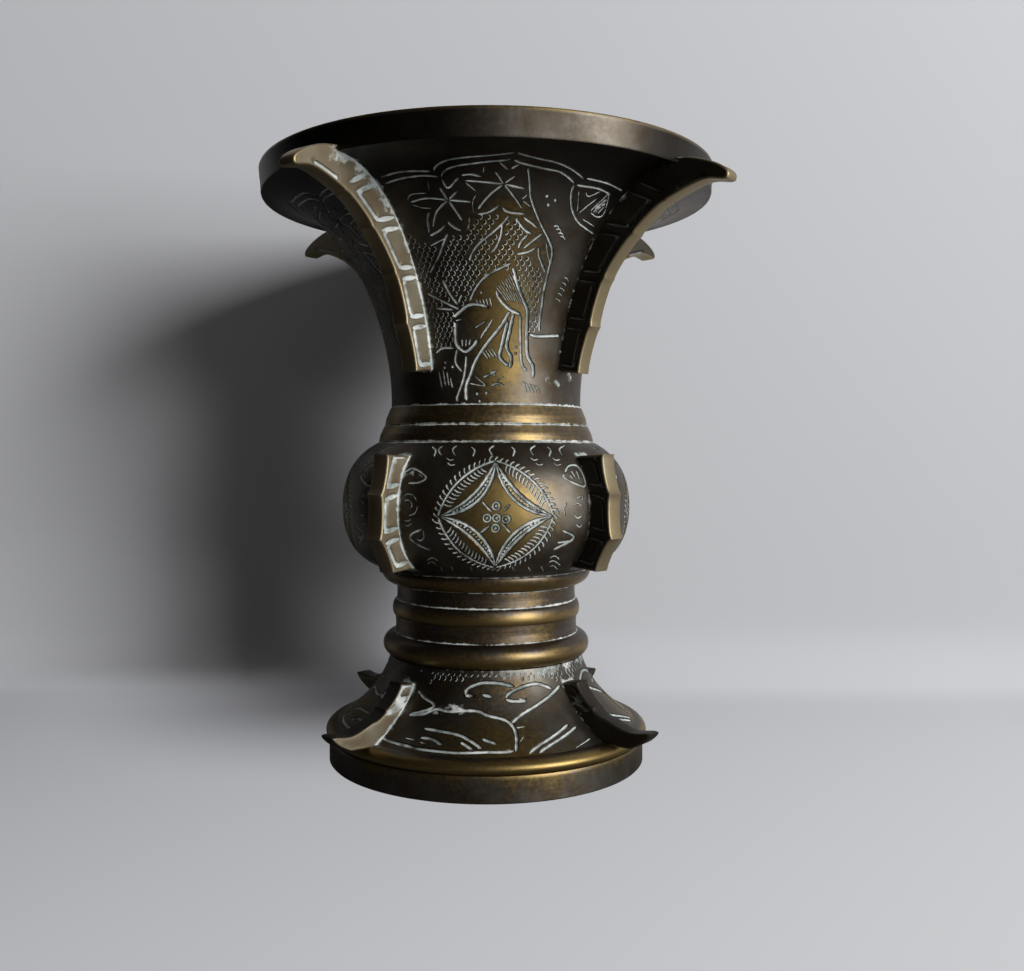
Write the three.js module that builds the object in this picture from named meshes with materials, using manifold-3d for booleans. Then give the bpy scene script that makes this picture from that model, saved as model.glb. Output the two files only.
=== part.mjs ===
// Bronze beaker vase with bamboo-stalk flanges.
// Millimetres, +Z up. The origin is the centre of the ring that the vase stands on, and the front faces -Y.
// The vase is hollow and was cast in sections. Each section has a spigot that drops into its neighbour's
// socket, each flange has a tongue that is let into a slot in the wall, and solder fills the gaps.
import * as THREE from 'three';
import { mergeVertices } from 'three/addons/utils/BufferGeometryUtils.js';
import Module from 'manifold-3d';

const wasm = await Module();
wasm.setup();

// Fits and walls that every section shares
const SOLDER_GAP = 0.3;
const WALL = 3;
const SPIGOT_DEPTH = 3.5;
const TURN_STEPS = 40;
const ROLL_STEPS = 6;
const BEAD_STEPS = 4;

// Base ring, and the plate that closes the vase above it
const BASE_RADIUS = 40.5;
const BASE_HEIGHT = 6.4;
const BASE_BEVEL = 0.5;
const BASE_WIDTH = 6.5;
const PLATE_INSET = 4.1;
const PLATE_THICKNESS = 2.6;

// Foot: a bell with a rolled rim, seated on the base ring
const FOOT_HEIGHT = 20.1;
const FOOT_TOP_RADIUS = 24.9;
const FOOT_SEAT_INSET = 0.9;
const FOOT_RIM_WIDTH = 4.4;
const FOOT_ROLL_HEIGHT = 3.5;
const FOOT_ROLL_BULGE = 2.4;
const FOOT_SHOULDER_INSET = 1.4;
const FOOT_SKIRT_RUN = 6;
const FOOT_SKIRT_RISE = 4.1;
const FOOT_NECK_RUN = 1.8;
const FOOT_NECK_DROP = 7.3;
const FOOT_WALL_STEPS = 7;

// Stem: torus, lower band, bead, upper band and cornice, turned on one bored casting
const STEM_SPIGOT_WALL = 1.6;
const TORUS_HEIGHT = 5.9;
const TORUS_ROOT_INSET = 1.1;
const TORUS_BULGE = 2.9;
const LOWER_BAND_HEIGHT = 4.3;
const LOWER_BAND_INSET = 1.3;
const BEAD_HEIGHT = 4.1;
const BEAD_BULGE = 0.9;
const UPPER_BAND_HEIGHT = 4.05;
const UPPER_BAND_INSET = 1.7;
const CORNICE_HEIGHT = 4;
const CORNICE_REACH = 1.7;
const CORNICE_ROUND = 1.8;
const BULB_SEAT_WIDTH = 3.3;

// Bulb: the round body between the stem and the neck
const BULB_HEIGHT = 32.2;
const BULB_RADIUS = 37.2;
const BULB_TOP_RADIUS = 28;
const BULB_BELLY_HEIGHT = 16;
const BULB_FOOT_RUN = 6.6;
const BULB_FOOT_RISE = 2.1;
const BULB_LOWER_ROUND = 9;
const BULB_UPPER_ROUND = 10;
const BULB_SHOULDER_RUN = 4;
const BULB_SHOULDER_DROP = 2;
const BULB_WALL_STEPS = 6;

// Collar: two stepped rings between the bulb and the neck
const COLLAR_LOWER_HEIGHT = 4.2;
const COLLAR_LOWER_RADIUS = 27.9;
const COLLAR_UPPER_HEIGHT = 4.6;
const COLLAR_UPPER_RADIUS = 26.3;
const COLLAR_LEAN = 0.35;
const COLLAR_SLOPE = 1.4;
const COLLAR_SHARE_UPRIGHT = 0.45;
const COLLAR_SPIGOT_RADIUS = 24;

// Neck: a trumpet that ends in an upright lip band
const THROAT_RADIUS = 24.6;
const NECK_HEIGHT = 53.65;
const NECK_WAIST = 0.5;
const NECK_RISE = 23;
const NECK_FLARE_RUN = 20;
const NECK_WALL_STEPS = 12;
const NECK_SPIGOT_WALL = 1.5;
const LIP_RADIUS = 58.2;
const LIP_HEIGHT = 6.5;
const LIP_WIDTH = 3.2;
const LIP_LEAN = 0.6;
const LIP_BEVEL = 0.5;

// Flanges: bamboo stalks cut from plate, seated by hand at these turns from the front, in degrees
const FLANGE_THICKNESS = 4.5;
const TONGUE_DEPTH = 1.5;
const STALK_WAIST = 0.4;
const NECK_FLANGE_TURNS = [-36, 50, 134, 230];
const BULB_FLANGE_TURNS = [-36.5, 44.5, 136, 226];
const FOOT_FLANGE_TURNS = [-45.5, 49.5, 142, 226];

// Neck flange: heights above the collar, and how far each bamboo joint stands off the wall
const NECK_JOINT_HEIGHTS = [8.35, 20.75, 32.15, 43.65, 51.35];
const NECK_JOINT_DEPTHS = [6, 7.2, 7.3, 9.2, 9.4];
const NECK_TONGUE_START = 14;
const NECK_TONGUE_LENGTH = 6;
const HORN_REACH = 11.6;
const HORN_DROP = 4.9;
const HORN_THICKNESS = 3.2;
const HORN_NECK_RUN = 3.8;
const HORN_ROUND = 0.8;
const HORN_HOLLOW = 0.8;

// Bulb flange: heights above the bulb's foot, and how far each bamboo joint stands out past the belly
const BULB_JOINT_HEIGHTS = [1.7, 9.7, 19.9, 29.2];
const BULB_JOINT_REACHES = [1.6, 6.1, 5.7, 3.6];
const BULB_TONGUE_START = 12;
const BULB_TONGUE_LENGTH = 7;

// Foot flange: heights above the base ring, and how far each bamboo joint stands off the wall
const FOOT_FLANGE_TOP = 16.2;
const FOOT_JOINT_HEIGHTS = [5.1, 8.1, 14.6];
const FOOT_JOINT_DEPTHS = [4.9, 4.1, 4];
const FOOT_TONGUE_START = 9;
const FOOT_TONGUE_LENGTH = 3;
const SPUR_REACH = 10.4;
const SPUR_HEIGHT = 7.1;
const SPUR_THICKNESS = 2;
const SPUR_TIP_RUN = 1;
const SPUR_TIP_RISE = 0.5;
const SPUR_BACK_RUN = 6;
const SPUR_BELLY_REACH = 3.6;
const SPUR_BELLY_DROP = 0.2;

// Levels, stacked up from the ground
const plateBottom = BASE_HEIGHT - SOLDER_GAP - PLATE_THICKNESS;
const footShoulder = BASE_HEIGHT + FOOT_ROLL_HEIGHT;
const stemBottom = BASE_HEIGHT + FOOT_HEIGHT;
const lowerBandBottom = stemBottom + TORUS_HEIGHT;
const beadBottom = lowerBandBottom + LOWER_BAND_HEIGHT;
const upperBandBottom = beadBottom + BEAD_HEIGHT;
const corniceBottom = upperBandBottom + UPPER_BAND_HEIGHT;
const bulbBottom = corniceBottom + CORNICE_HEIGHT;
const bulbBelly = bulbBottom + BULB_BELLY_HEIGHT;
const collarBottom = bulbBottom + BULB_HEIGHT;
const collarStep = collarBottom + COLLAR_LOWER_HEIGHT;
const neckBottom = collarStep + COLLAR_UPPER_HEIGHT;
const lipBottom = neckBottom + NECK_HEIGHT;
const lipTop = lipBottom + LIP_HEIGHT;

// Radii that two neighbours share
const baseOpeningRadius = BASE_RADIUS - BASE_WIDTH;
const plateRadius = BASE_RADIUS - PLATE_INSET;
const rebateRadius = plateRadius + SOLDER_GAP;
const footSeatRadius = BASE_RADIUS - FOOT_SEAT_INSET;
const footBoreRadius = footSeatRadius - FOOT_RIM_WIDTH;
const footShoulderRadius = footSeatRadius - FOOT_SHOULDER_INSET;
const footSocketRadius = FOOT_TOP_RADIUS - WALL;
const stemLowerSpigotRadius = footSocketRadius - SOLDER_GAP;
const stemBoreRadius = stemLowerSpigotRadius - STEM_SPIGOT_WALL;
const torusRootRadius = FOOT_TOP_RADIUS - TORUS_ROOT_INSET;
const lowerBandRadius = FOOT_TOP_RADIUS - LOWER_BAND_INSET;
const upperBandRadius = FOOT_TOP_RADIUS - UPPER_BAND_INSET;
const corniceRadius = FOOT_TOP_RADIUS + CORNICE_REACH;
const stemSpigotRadius = corniceRadius - BULB_SEAT_WIDTH;
const bulbSocketRadius = stemSpigotRadius + SOLDER_GAP;
const bulbMouthRadius = COLLAR_SPIGOT_RADIUS + SOLDER_GAP;
const throatBoreRadius = THROAT_RADIUS - WALL;
const neckSpigotRadius = throatBoreRadius + NECK_SPIGOT_WALL;
const collarSocketRadius = neckSpigotRadius + SOLDER_GAP;
const lipFootRadius = LIP_RADIUS - LIP_LEAN;

const at = (radius, height) => new THREE.Vector2(radius, height);

// A wall is a row of points up its outer face, each with the direction that points out of the metal.
function wall(curve, steps) {
  return curve.getPoints(steps).map((place, i) => {
    const along = curve.getTangent(i / steps);
    return { place, out: at(along.y, -along.x) };
  });
}

const footWall = wall(new THREE.CubicBezierCurve(
  at(footShoulderRadius, footShoulder),
  at(footShoulderRadius - FOOT_SKIRT_RUN, footShoulder + FOOT_SKIRT_RISE),
  at(FOOT_TOP_RADIUS + FOOT_NECK_RUN, stemBottom - FOOT_NECK_DROP),
  at(FOOT_TOP_RADIUS, stemBottom),
), FOOT_WALL_STEPS);

const bulbLowerWall = wall(new THREE.CubicBezierCurve(
  at(corniceRadius, bulbBottom),
  at(corniceRadius + BULB_FOOT_RUN, bulbBottom + BULB_FOOT_RISE),
  at(BULB_RADIUS, bulbBelly - BULB_LOWER_ROUND),
  at(BULB_RADIUS, bulbBelly),
), BULB_WALL_STEPS);

const bulbUpperWall = wall(new THREE.CubicBezierCurve(
  at(BULB_RADIUS, bulbBelly),
  at(BULB_RADIUS, bulbBelly + BULB_UPPER_ROUND),
  at(BULB_TOP_RADIUS + BULB_SHOULDER_RUN, collarBottom - BULB_SHOULDER_DROP),
  at(BULB_TOP_RADIUS, collarBottom),
), BULB_WALL_STEPS);

const bulbWall = [...bulbLowerWall, ...bulbUpperWall.slice(1)];

const neckWall = wall(new THREE.CubicBezierCurve(
  at(THROAT_RADIUS, neckBottom),
  at(THROAT_RADIUS - NECK_WAIST, neckBottom + NECK_RISE),
  at(lipFootRadius - NECK_FLARE_RUN, lipBottom),
  at(lipFootRadius, lipBottom),
), NECK_WALL_STEPS);

// The place on a wall at one height, moved out of the metal by offset, or into it if offset is negative.
function seat(wallPoints, height, offset) {
  let i = 1;
  while (i < wallPoints.length - 1 && wallPoints[i].place.y < height) i += 1;
  const low = wallPoints[i - 1];
  const high = wallPoints[i];
  const share = (height - low.place.y) / (high.place.y - low.place.y);
  const out = low.out.clone().lerp(high.out, share);
  return low.place.clone().lerp(high.place, share).addScaledVector(out, offset);
}

// A stretch of a wall between two heights, moved the same way.
function stretch(wallPoints, from, to, offset) {
  const inner = wallPoints.filter(({ place }) => place.y > from && place.y < to);
  return [
    seat(wallPoints, from, offset),
    ...inner.map(({ place, out }) => place.clone().addScaledVector(out, offset)),
    seat(wallPoints, to, offset),
  ];
}

// The bore side of a wall, from its top down.
function lining(wallPoints) {
  return wallPoints.map(({ place, out }) => place.clone().addScaledVector(out, -WALL)).reverse();
}

// A half-round moulding that bulges from one level to the next.
function moulding(lowRadius, low, highRadius, high, bulge, steps) {
  return Array.from({ length: steps + 1 }, (_, i) => {
    const share = i / steps;
    const turn = (share - 0.5) * Math.PI;
    const height = (low + high + (high - low) * Math.sin(turn)) / 2;
    return at(THREE.MathUtils.lerp(lowRadius, highRadius, share) + bulge * Math.cos(turn), height);
  });
}

// One of the collar's rings: upright below, then sloping in.
function collarRing(radius, low, high) {
  return [
    at(radius, low),
    at(radius - COLLAR_LEAN, THREE.MathUtils.lerp(low, high, COLLAR_SHARE_UPRIGHT)),
    at(radius - COLLAR_SLOPE, high),
  ];
}

// Merges the shared corners of a geometry, so that it is one closed surface.
function closed(geometry) {
  geometry.deleteAttribute('normal');
  geometry.deleteAttribute('uv');
  return mergeVertices(geometry);
}

// A section turned about the axis, from its outline up the outside and down the inside.
function turned(outline) {
  return closed(new THREE.LatheGeometry([...outline, outline[0]], TURN_STEPS).rotateX(Math.PI / 2));
}

// A plate of the given thickness that stands in the plane of the axis, cut to an outline.
function plate(outline, thickness) {
  const options = { depth: thickness, bevelEnabled: false };
  const geometry = new THREE.ExtrudeGeometry(new THREE.Shape(outline), options);
  return closed(geometry.translate(0, 0, -thickness / 2).rotateX(Math.PI / 2));
}

// Turns from the front are counted towards +X, and a plate is made along +X.
const plateAngle = (turn) => THREE.MathUtils.degToRad(turn - 90);

function solid(geometry) {
  return new wasm.Manifold(new wasm.Mesh({
    numProp: 3,
    vertProperties: new Float32Array(geometry.attributes.position.array),
    triVerts: new Uint32Array(geometry.index.array),
  }));
}

function surface(body) {
  const { vertProperties, triVerts } = body.getMesh();
  const geometry = new THREE.BufferGeometry();
  geometry.setAttribute('position', new THREE.BufferAttribute(vertProperties, 3));
  geometry.setIndex(new THREE.BufferAttribute(triVerts, 1));
  return geometry;
}

// Cuts the slots for the flanges' tongues, a solder gap larger than the tongue on every side.
function slotted(geometry, wallPoints, start, length, turns) {
  const from = start - SOLDER_GAP;
  const to = start + length + SOLDER_GAP;
  const floor = stretch(wallPoints, from, to, -TONGUE_DEPTH - SOLDER_GAP);
  const mouth = stretch(wallPoints, from, to, TONGUE_DEPTH);
  const outline = [...mouth, ...floor.reverse()];
  let body = solid(geometry);
  for (const turn of turns) {
    const cutter = plate(outline, FLANGE_THICKNESS + 2 * SOLDER_GAP);
    body = body.subtract(solid(cutter.rotateZ(plateAngle(turn))));
  }
  return surface(body);
}

// A flange's seated edge, from its top down, with the tongue standing in.
function seatedEdge(wallPoints, bottom, top, tongueStart, tongueLength) {
  const tongueEnd = tongueStart + tongueLength;
  return [
    ...stretch(wallPoints, bottom, tongueStart, SOLDER_GAP),
    ...stretch(wallPoints, tongueStart, tongueEnd, -TONGUE_DEPTH),
    ...stretch(wallPoints, tongueEnd, top, SOLDER_GAP),
  ].reverse();
}

// A bamboo stalk's edge: full at each joint and drawn in between them.
function stalkEdge(joints) {
  const edge = [joints[0]];
  for (let i = 1; i < joints.length; i += 1) {
    const run = joints[i].clone().sub(joints[i - 1]).normalize();
    const waist = joints[i - 1].clone().lerp(joints[i], 0.5).addScaledVector(at(-run.y, run.x), STALK_WAIST);
    edge.push(waist, joints[i]);
  }
  return edge;
}

function neckFlange() {
  const heights = NECK_JOINT_HEIGHTS.map((height) => neckBottom + height);
  const joints = heights.map((height, i) => seat(neckWall, height, NECK_JOINT_DEPTHS[i]));
  const nose = at(LIP_RADIUS + HORN_REACH, lipBottom - HORN_DROP);
  const horn = [
    at(nose.x - HORN_NECK_RUN, nose.y - HORN_THICKNESS / 2),
    at(nose.x - HORN_ROUND, nose.y - HORN_ROUND),
    nose,
    at(nose.x - HORN_ROUND, nose.y + HORN_THICKNESS / 2),
  ];
  const hollow = joints.at(-1).clone().lerp(horn[0], 0.5).add(at(0, HORN_HOLLOW));
  const tongueStart = neckBottom + NECK_TONGUE_START;
  const seated = seatedEdge(neckWall, heights[0], lipBottom, tongueStart, NECK_TONGUE_LENGTH);
  return plate([...stalkEdge(joints), hollow, ...horn, ...seated], FLANGE_THICKNESS);
}

function bulbFlange() {
  const heights = BULB_JOINT_HEIGHTS.map((height) => bulbBottom + height);
  const joints = heights.map((height, i) => at(BULB_RADIUS + BULB_JOINT_REACHES[i], height));
  const tongueStart = bulbBottom + BULB_TONGUE_START;
  const seated = seatedEdge(bulbWall, heights[0], heights.at(-1), tongueStart, BULB_TONGUE_LENGTH);
  return plate([...stalkEdge(joints), ...seated], FLANGE_THICKNESS);
}

function footFlange() {
  const heights = FOOT_JOINT_HEIGHTS.map((height) => BASE_HEIGHT + height);
  const joints = heights.map((height, i) => seat(footWall, height, FOOT_JOINT_DEPTHS[i]));
  const nose = at(BASE_RADIUS + SPUR_REACH, BASE_HEIGHT + SPUR_HEIGHT);
  const spur = [
    at(footSeatRadius + FOOT_ROLL_BULGE + SPUR_BELLY_REACH, footShoulder - SPUR_BELLY_DROP),
    at(nose.x - SPUR_THICKNESS, nose.y - SPUR_THICKNESS),
    nose,
    at(nose.x - SPUR_TIP_RUN, nose.y + SPUR_TIP_RISE),
    at(nose.x - SPUR_BACK_RUN, nose.y),
  ];
  const top = BASE_HEIGHT + FOOT_FLANGE_TOP;
  const tongueStart = BASE_HEIGHT + FOOT_TONGUE_START;
  const seated = seatedEdge(footWall, footShoulder, top, tongueStart, FOOT_TONGUE_LENGTH);
  return plate([...spur, ...stalkEdge(joints), ...seated], FLANGE_THICKNESS);
}

function baseRing() {
  return turned([
    at(baseOpeningRadius, 0),
    at(BASE_RADIUS, 0),
    at(BASE_RADIUS, BASE_HEIGHT - BASE_BEVEL),
    at(BASE_RADIUS - BASE_BEVEL, BASE_HEIGHT),
    at(rebateRadius, BASE_HEIGHT),
    at(rebateRadius, plateBottom),
    at(baseOpeningRadius, plateBottom),
  ]);
}

function bottomPlate() {
  const geometry = new THREE.CylinderGeometry(plateRadius, plateRadius, PLATE_THICKNESS, TURN_STEPS);
  return closed(geometry.rotateX(Math.PI / 2).translate(0, 0, plateBottom + PLATE_THICKNESS / 2));
}

function foot() {
  const roll = moulding(
    footSeatRadius, BASE_HEIGHT, footShoulderRadius, footShoulder, FOOT_ROLL_BULGE, ROLL_STEPS,
  );
  const bell = turned([
    at(footBoreRadius, BASE_HEIGHT),
    ...roll.slice(0, -1),
    ...footWall.map(({ place }) => place),
    ...lining(footWall).map(({ x, y }) => at(Math.min(x, footBoreRadius), y)),
  ]);
  return slotted(bell, footWall, BASE_HEIGHT + FOOT_TONGUE_START, FOOT_TONGUE_LENGTH, FOOT_FLANGE_TURNS);
}

function stem() {
  return turned([
    at(stemBoreRadius, stemBottom - SPIGOT_DEPTH),
    at(stemLowerSpigotRadius, stemBottom - SPIGOT_DEPTH),
    at(stemLowerSpigotRadius, stemBottom),
    ...moulding(torusRootRadius, stemBottom, torusRootRadius, lowerBandBottom, TORUS_BULGE, ROLL_STEPS),
    at(lowerBandRadius, lowerBandBottom),
    ...moulding(lowerBandRadius, beadBottom, upperBandRadius, upperBandBottom, BEAD_BULGE, BEAD_STEPS),
    ...moulding(upperBandRadius, corniceBottom, corniceRadius, bulbBottom, CORNICE_ROUND, BEAD_STEPS),
    at(stemSpigotRadius, bulbBottom),
    at(stemSpigotRadius, bulbBottom + SPIGOT_DEPTH),
    at(stemBoreRadius, bulbBottom + SPIGOT_DEPTH),
  ]);
}

function bulb() {
  const bore = lining(bulbWall).filter(({ x }) => x > Math.max(bulbMouthRadius, bulbSocketRadius));
  const shell = turned([
    at(bulbSocketRadius, bulbBottom),
    ...bulbWall.map(({ place }) => place),
    at(bulbMouthRadius, collarBottom),
    at(bulbMouthRadius, collarBottom - WALL),
    ...bore,
    at(bulbSocketRadius, bulbBottom + WALL),
  ]);
  return slotted(shell, bulbWall, bulbBottom + BULB_TONGUE_START, BULB_TONGUE_LENGTH, BULB_FLANGE_TURNS);
}

function collar() {
  return turned([
    at(throatBoreRadius, collarBottom - SPIGOT_DEPTH),
    at(COLLAR_SPIGOT_RADIUS, collarBottom - SPIGOT_DEPTH),
    at(COLLAR_SPIGOT_RADIUS, collarBottom),
    ...collarRing(COLLAR_LOWER_RADIUS, collarBottom, collarStep),
    ...collarRing(COLLAR_UPPER_RADIUS, collarStep, neckBottom),
    at(collarSocketRadius, neckBottom),
    at(collarSocketRadius, neckBottom - SPIGOT_DEPTH - SOLDER_GAP),
    at(throatBoreRadius, neckBottom - SPIGOT_DEPTH - SOLDER_GAP),
  ]);
}

function neck() {
  const trumpet = turned([
    at(throatBoreRadius, neckBottom - SPIGOT_DEPTH),
    at(neckSpigotRadius, neckBottom - SPIGOT_DEPTH),
    at(neckSpigotRadius, neckBottom),
    ...neckWall.map(({ place }) => place),
    at(LIP_RADIUS, lipTop - LIP_BEVEL),
    at(LIP_RADIUS - LIP_BEVEL, lipTop),
    at(LIP_RADIUS - LIP_WIDTH, lipTop),
    ...lining(neckWall).map(({ x, y }) => at(Math.min(x, LIP_RADIUS - LIP_WIDTH), y)),
  ]);
  return slotted(trumpet, neckWall, neckBottom + NECK_TONGUE_START, NECK_TONGUE_LENGTH, NECK_FLANGE_TURNS);
}

// Cast sections are dark with age, and the flanges and the stem are rubbed to the metal
const darkBronze = new THREE.MeshStandardMaterial({ color: 0x3b3122, roughness: 0.45, metalness: 0.9 });
const rubbedBronze = new THREE.MeshStandardMaterial({ color: 0x6e5a36, roughness: 0.38, metalness: 0.95 });

function piece(name, geometry, material, turn) {
  const mesh = new THREE.Mesh(geometry, material);
  mesh.name = name;
  if (turn !== undefined) mesh.rotation.z = plateAngle(turn);
  return mesh;
}

const vase = new THREE.Group();
vase.name = 'bronze_vase';
vase.add(
  piece('base_ring', baseRing(), darkBronze),
  piece('bottom_plate', bottomPlate(), darkBronze),
  piece('foot', foot(), darkBronze),
  piece('stem', stem(), rubbedBronze),
  piece('bulb', bulb(), darkBronze),
  piece('collar', collar(), rubbedBronze),
  piece('neck', neck(), darkBronze),
);

const flangeSets = [
  ['neck_flange', neckFlange, NECK_FLANGE_TURNS],
  ['bulb_flange', bulbFlange, BULB_FLANGE_TURNS],
  ['foot_flange', footFlange, FOOT_FLANGE_TURNS],
];
for (const [name, make, turns] of flangeSets) {
  turns.forEach((turn, i) => vase.add(piece(`${name}_${i + 1}`, make(), rubbedBronze, turn)));
}

export default vase;
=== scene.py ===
# %% [markdown]
# A bronze beaker vase, engraved and set with bamboo-stalk flanges
#
# The real vase was cast in sections, turned, engraved with a graver and punches, and soldered together.
# It is dark with age, rubbed back to the yellow metal where hands and cloths reach, and pale polish has
# dried in every cut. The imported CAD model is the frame: each section here stands exactly where its CAD
# node stands, and adds the cuts and the finish. Shapes are worked out in millimetres, as the maker would
# measure them, and become metres when a mesh is made.

# %% Load the frame
import math

import bpy
import numpy as np
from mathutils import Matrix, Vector
from mathutils.geometry import delaunay_2d_cdt


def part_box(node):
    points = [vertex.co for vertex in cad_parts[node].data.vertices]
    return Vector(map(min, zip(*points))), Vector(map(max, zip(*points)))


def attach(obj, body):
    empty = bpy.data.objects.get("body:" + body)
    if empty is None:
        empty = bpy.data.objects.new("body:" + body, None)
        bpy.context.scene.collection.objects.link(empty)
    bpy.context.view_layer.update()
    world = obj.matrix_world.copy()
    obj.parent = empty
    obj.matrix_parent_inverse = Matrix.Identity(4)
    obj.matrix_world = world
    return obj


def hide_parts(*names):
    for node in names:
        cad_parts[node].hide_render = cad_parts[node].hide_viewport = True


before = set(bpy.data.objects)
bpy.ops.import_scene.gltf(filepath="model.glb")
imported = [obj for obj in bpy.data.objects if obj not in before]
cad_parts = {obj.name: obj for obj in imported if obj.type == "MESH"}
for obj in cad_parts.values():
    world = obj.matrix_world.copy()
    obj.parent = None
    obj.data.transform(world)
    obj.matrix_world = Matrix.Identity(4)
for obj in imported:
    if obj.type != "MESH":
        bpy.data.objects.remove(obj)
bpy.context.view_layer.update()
MM = 0.001


def level(node, corner):
    """A CAD node's lowest (corner 0) or highest (corner 1) height in mm."""
    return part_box(node)[corner].z / MM


def reach(node):
    """A CAD node's largest distance from the axis along X, in mm."""
    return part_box(node)[1].x / MM


def placed(name, data):
    """A new object with this data, linked into the scene."""
    made = bpy.data.objects.new(name, data)
    bpy.context.scene.collection.objects.link(made)
    return made


# %% [markdown]
# The camera
#
# The photograph looks straight at the vase's side from close by, so its perspective is strong. The
# ellipses of the mouth and the base give the distance and the height of the lens, and a lens shift puts
# the axis where the picture has it. The same numbers turn a pixel of the picture into a place on the
# vase, which the engraving below uses.

# %% Camera
IMAGE_WIDTH = 1024
IMAGE_HEIGHT = 971
FOCAL_PIXELS = 1029.0
AXIS_COLUMN = 486.0
HORIZON_ROW = 453.2
CAMERA_DISTANCE = 269.5
CAMERA_HEIGHT = 78.3
SENSOR_WIDTH = 36.0
CLIP_START = 0.01

camera_data = bpy.data.cameras.new("camera")
camera_data.sensor_width = SENSOR_WIDTH
camera_data.lens = SENSOR_WIDTH * FOCAL_PIXELS / IMAGE_WIDTH
camera_data.shift_x = (IMAGE_WIDTH / 2 - AXIS_COLUMN) / IMAGE_WIDTH
camera_data.shift_y = (HORIZON_ROW - IMAGE_HEIGHT / 2) / IMAGE_WIDTH
camera_data.clip_start = CLIP_START
camera = placed("camera", camera_data)
camera.location = Vector((0, -CAMERA_DISTANCE, CAMERA_HEIGHT)) * MM
camera.rotation_euler = (math.pi / 2, 0, 0)
bpy.context.scene.camera = camera
print("lens", round(camera_data.lens, 2), "mm, shift", round(camera_data.shift_x, 4),
      round(camera_data.shift_y, 4))


# %% [markdown]
# Colours and nodes
#
# Colours are written as the eye sees them, in sRGB hex, and shaders want linear light, so one function
# converts them. Another adds a node, sets it and links it. The few kinds of node that come up again and
# again, a blend of two colours, a range and a sum, get a short name of their own on top of it.

# %% Helpers for materials
def linear(hex_colour):
    """An sRGB hex colour as linear RGBA."""
    channels = [int(hex_colour[i:i + 2], 16) / 255 for i in (1, 3, 5)]
    return (*[c / 12.92 if c <= 0.04045 else ((c + 0.055) / 1.055) ** 2.4 for c in channels], 1.0)


def add_node(tree, kind, settings=None, **inputs):
    """Adds a node; settings are its properties, inputs its sockets.

    An input is a value, another node's output, or a node, which stands for its first output.
    """
    node = tree.nodes.new(kind)
    for name, value in (settings or {}).items():
        setattr(node, name, value)
    for name, value in inputs.items():
        key = int(name[1:]) if name[0] == "i" and name[1:].isdigit() else name.replace("_", " ")
        socket = node.inputs[key]
        if isinstance(value, bpy.types.Node):
            value = value.outputs[0]
        if isinstance(value, bpy.types.NodeSocket):
            tree.links.new(value, socket)
        else:
            socket.default_value = value
    return node


def emptied(owner):
    """The node tree of a new material or world, with nothing in it."""
    owner.use_nodes = True
    owner.node_tree.nodes.clear()
    return owner.node_tree


def blend(tree, share, first, second):
    """The colour between two others, each a value or an output."""
    return add_node(tree, "ShaderNodeMix", {"data_type": "RGBA"}, i0=share, i6=first, i7=second).outputs[2]


def ranged(tree, value, start, end, low=0.0, high=1.0, kind="LINEAR"):
    """A value brought from one range to another and held at its ends."""
    return add_node(tree, "ShaderNodeMapRange", {"interpolation_type": kind}, Value=value, From_Min=start,
                    From_Max=end, To_Min=low, To_Max=high)


def worked(tree, operation, *values):
    """One step of arithmetic on values or outputs."""
    inputs = {f"i{number}": value for number, value in enumerate(values)}
    return add_node(tree, "ShaderNodeMath", {"operation": operation}, **inputs)


# %% [markdown]
# Stage and light
#
# The vase stands on a sheet of pale paper that sweeps up close behind it, and a tall soft window lights
# it from the right front, as in the photograph, so its shadow falls to the left on the paper. The paper
# is one-sided: seen from behind or below it is clear, so that it never hides the vase in another view.
# The room in front is dim, and that is what the dark metal mirrors.

# %% Paper that sweeps up behind the vase
PAPER_WALL = 66.0
PAPER_BEND = 22.0
PAPER_FRONT = 900.0
PAPER_TOP = 700.0
PAPER_LEFT = -180.0
PAPER_RIGHT = 1000.0
BEND_STEPS = 12

bend = [(PAPER_WALL - PAPER_BEND + PAPER_BEND * math.sin(a), PAPER_BEND - PAPER_BEND * math.cos(a))
        for a in np.linspace(0, math.pi / 2, BEND_STEPS + 1)]
sweep = [(-PAPER_FRONT, 0.0), *bend, (PAPER_WALL, PAPER_TOP)]
paper_corners = [(x * MM, y * MM, z * MM) for y, z in sweep for x in (PAPER_LEFT, PAPER_RIGHT)]
paper_faces = [(2 * i, 2 * i + 1, 2 * i + 3, 2 * i + 2) for i in range(len(sweep) - 1)]
paper_mesh = bpy.data.meshes.new("paper")
paper_mesh.from_pydata(paper_corners, [], paper_faces)
paper_mesh.shade_smooth()
paper = placed("paper", paper_mesh)
print("paper wall", PAPER_WALL, "mm behind the axis")

# %% [markdown]
# Paper finish
#
# The wall is plain matt paper. The floor would throw light up under the rings and the flanges, so its
# own colour is dark, and it is lifted to a pale grey for the lens alone, and partly for the metal on its
# right. That grey is painted darker to the left and towards the back, where less of the window's light
# falls, and it takes no shadow, so a painted shadow, a soft dark patch, stands in for the vase's shadow
# where it crosses the floor.

# %% Matt paper with a lifted floor
PAPER_COLOUR = "#cdced2"
FLOOR_COLOUR = "#4a4a4c"
FLOOR_EDGE = (0.5, 4.0)
FLOOR_BACK_LEFT = "#a2a3a7"
FLOOR_FRONT_LEFT = "#b0b1b5"
FLOOR_BACK_RIGHT = "#d0d1d5"
FLOOR_FRONT_RIGHT = "#e4e5e8"
FLOOR_DEPTH = (40.0, -110.0)
FADE_WIDTH = 150.0
FADE_HEIGHT = (11.0, 26.0)
FLOOR_SHARE = 0.85
FLOOR_MIRRORED = (0.04, 0.42)
MIRROR_EDGE = (0.0, 120.0)
SHADE_COLOUR = "#48484b"
SHADE_PLACE = (-42.0, 66.0, 0.0)
SHADE_REACH = 95.0

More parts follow.
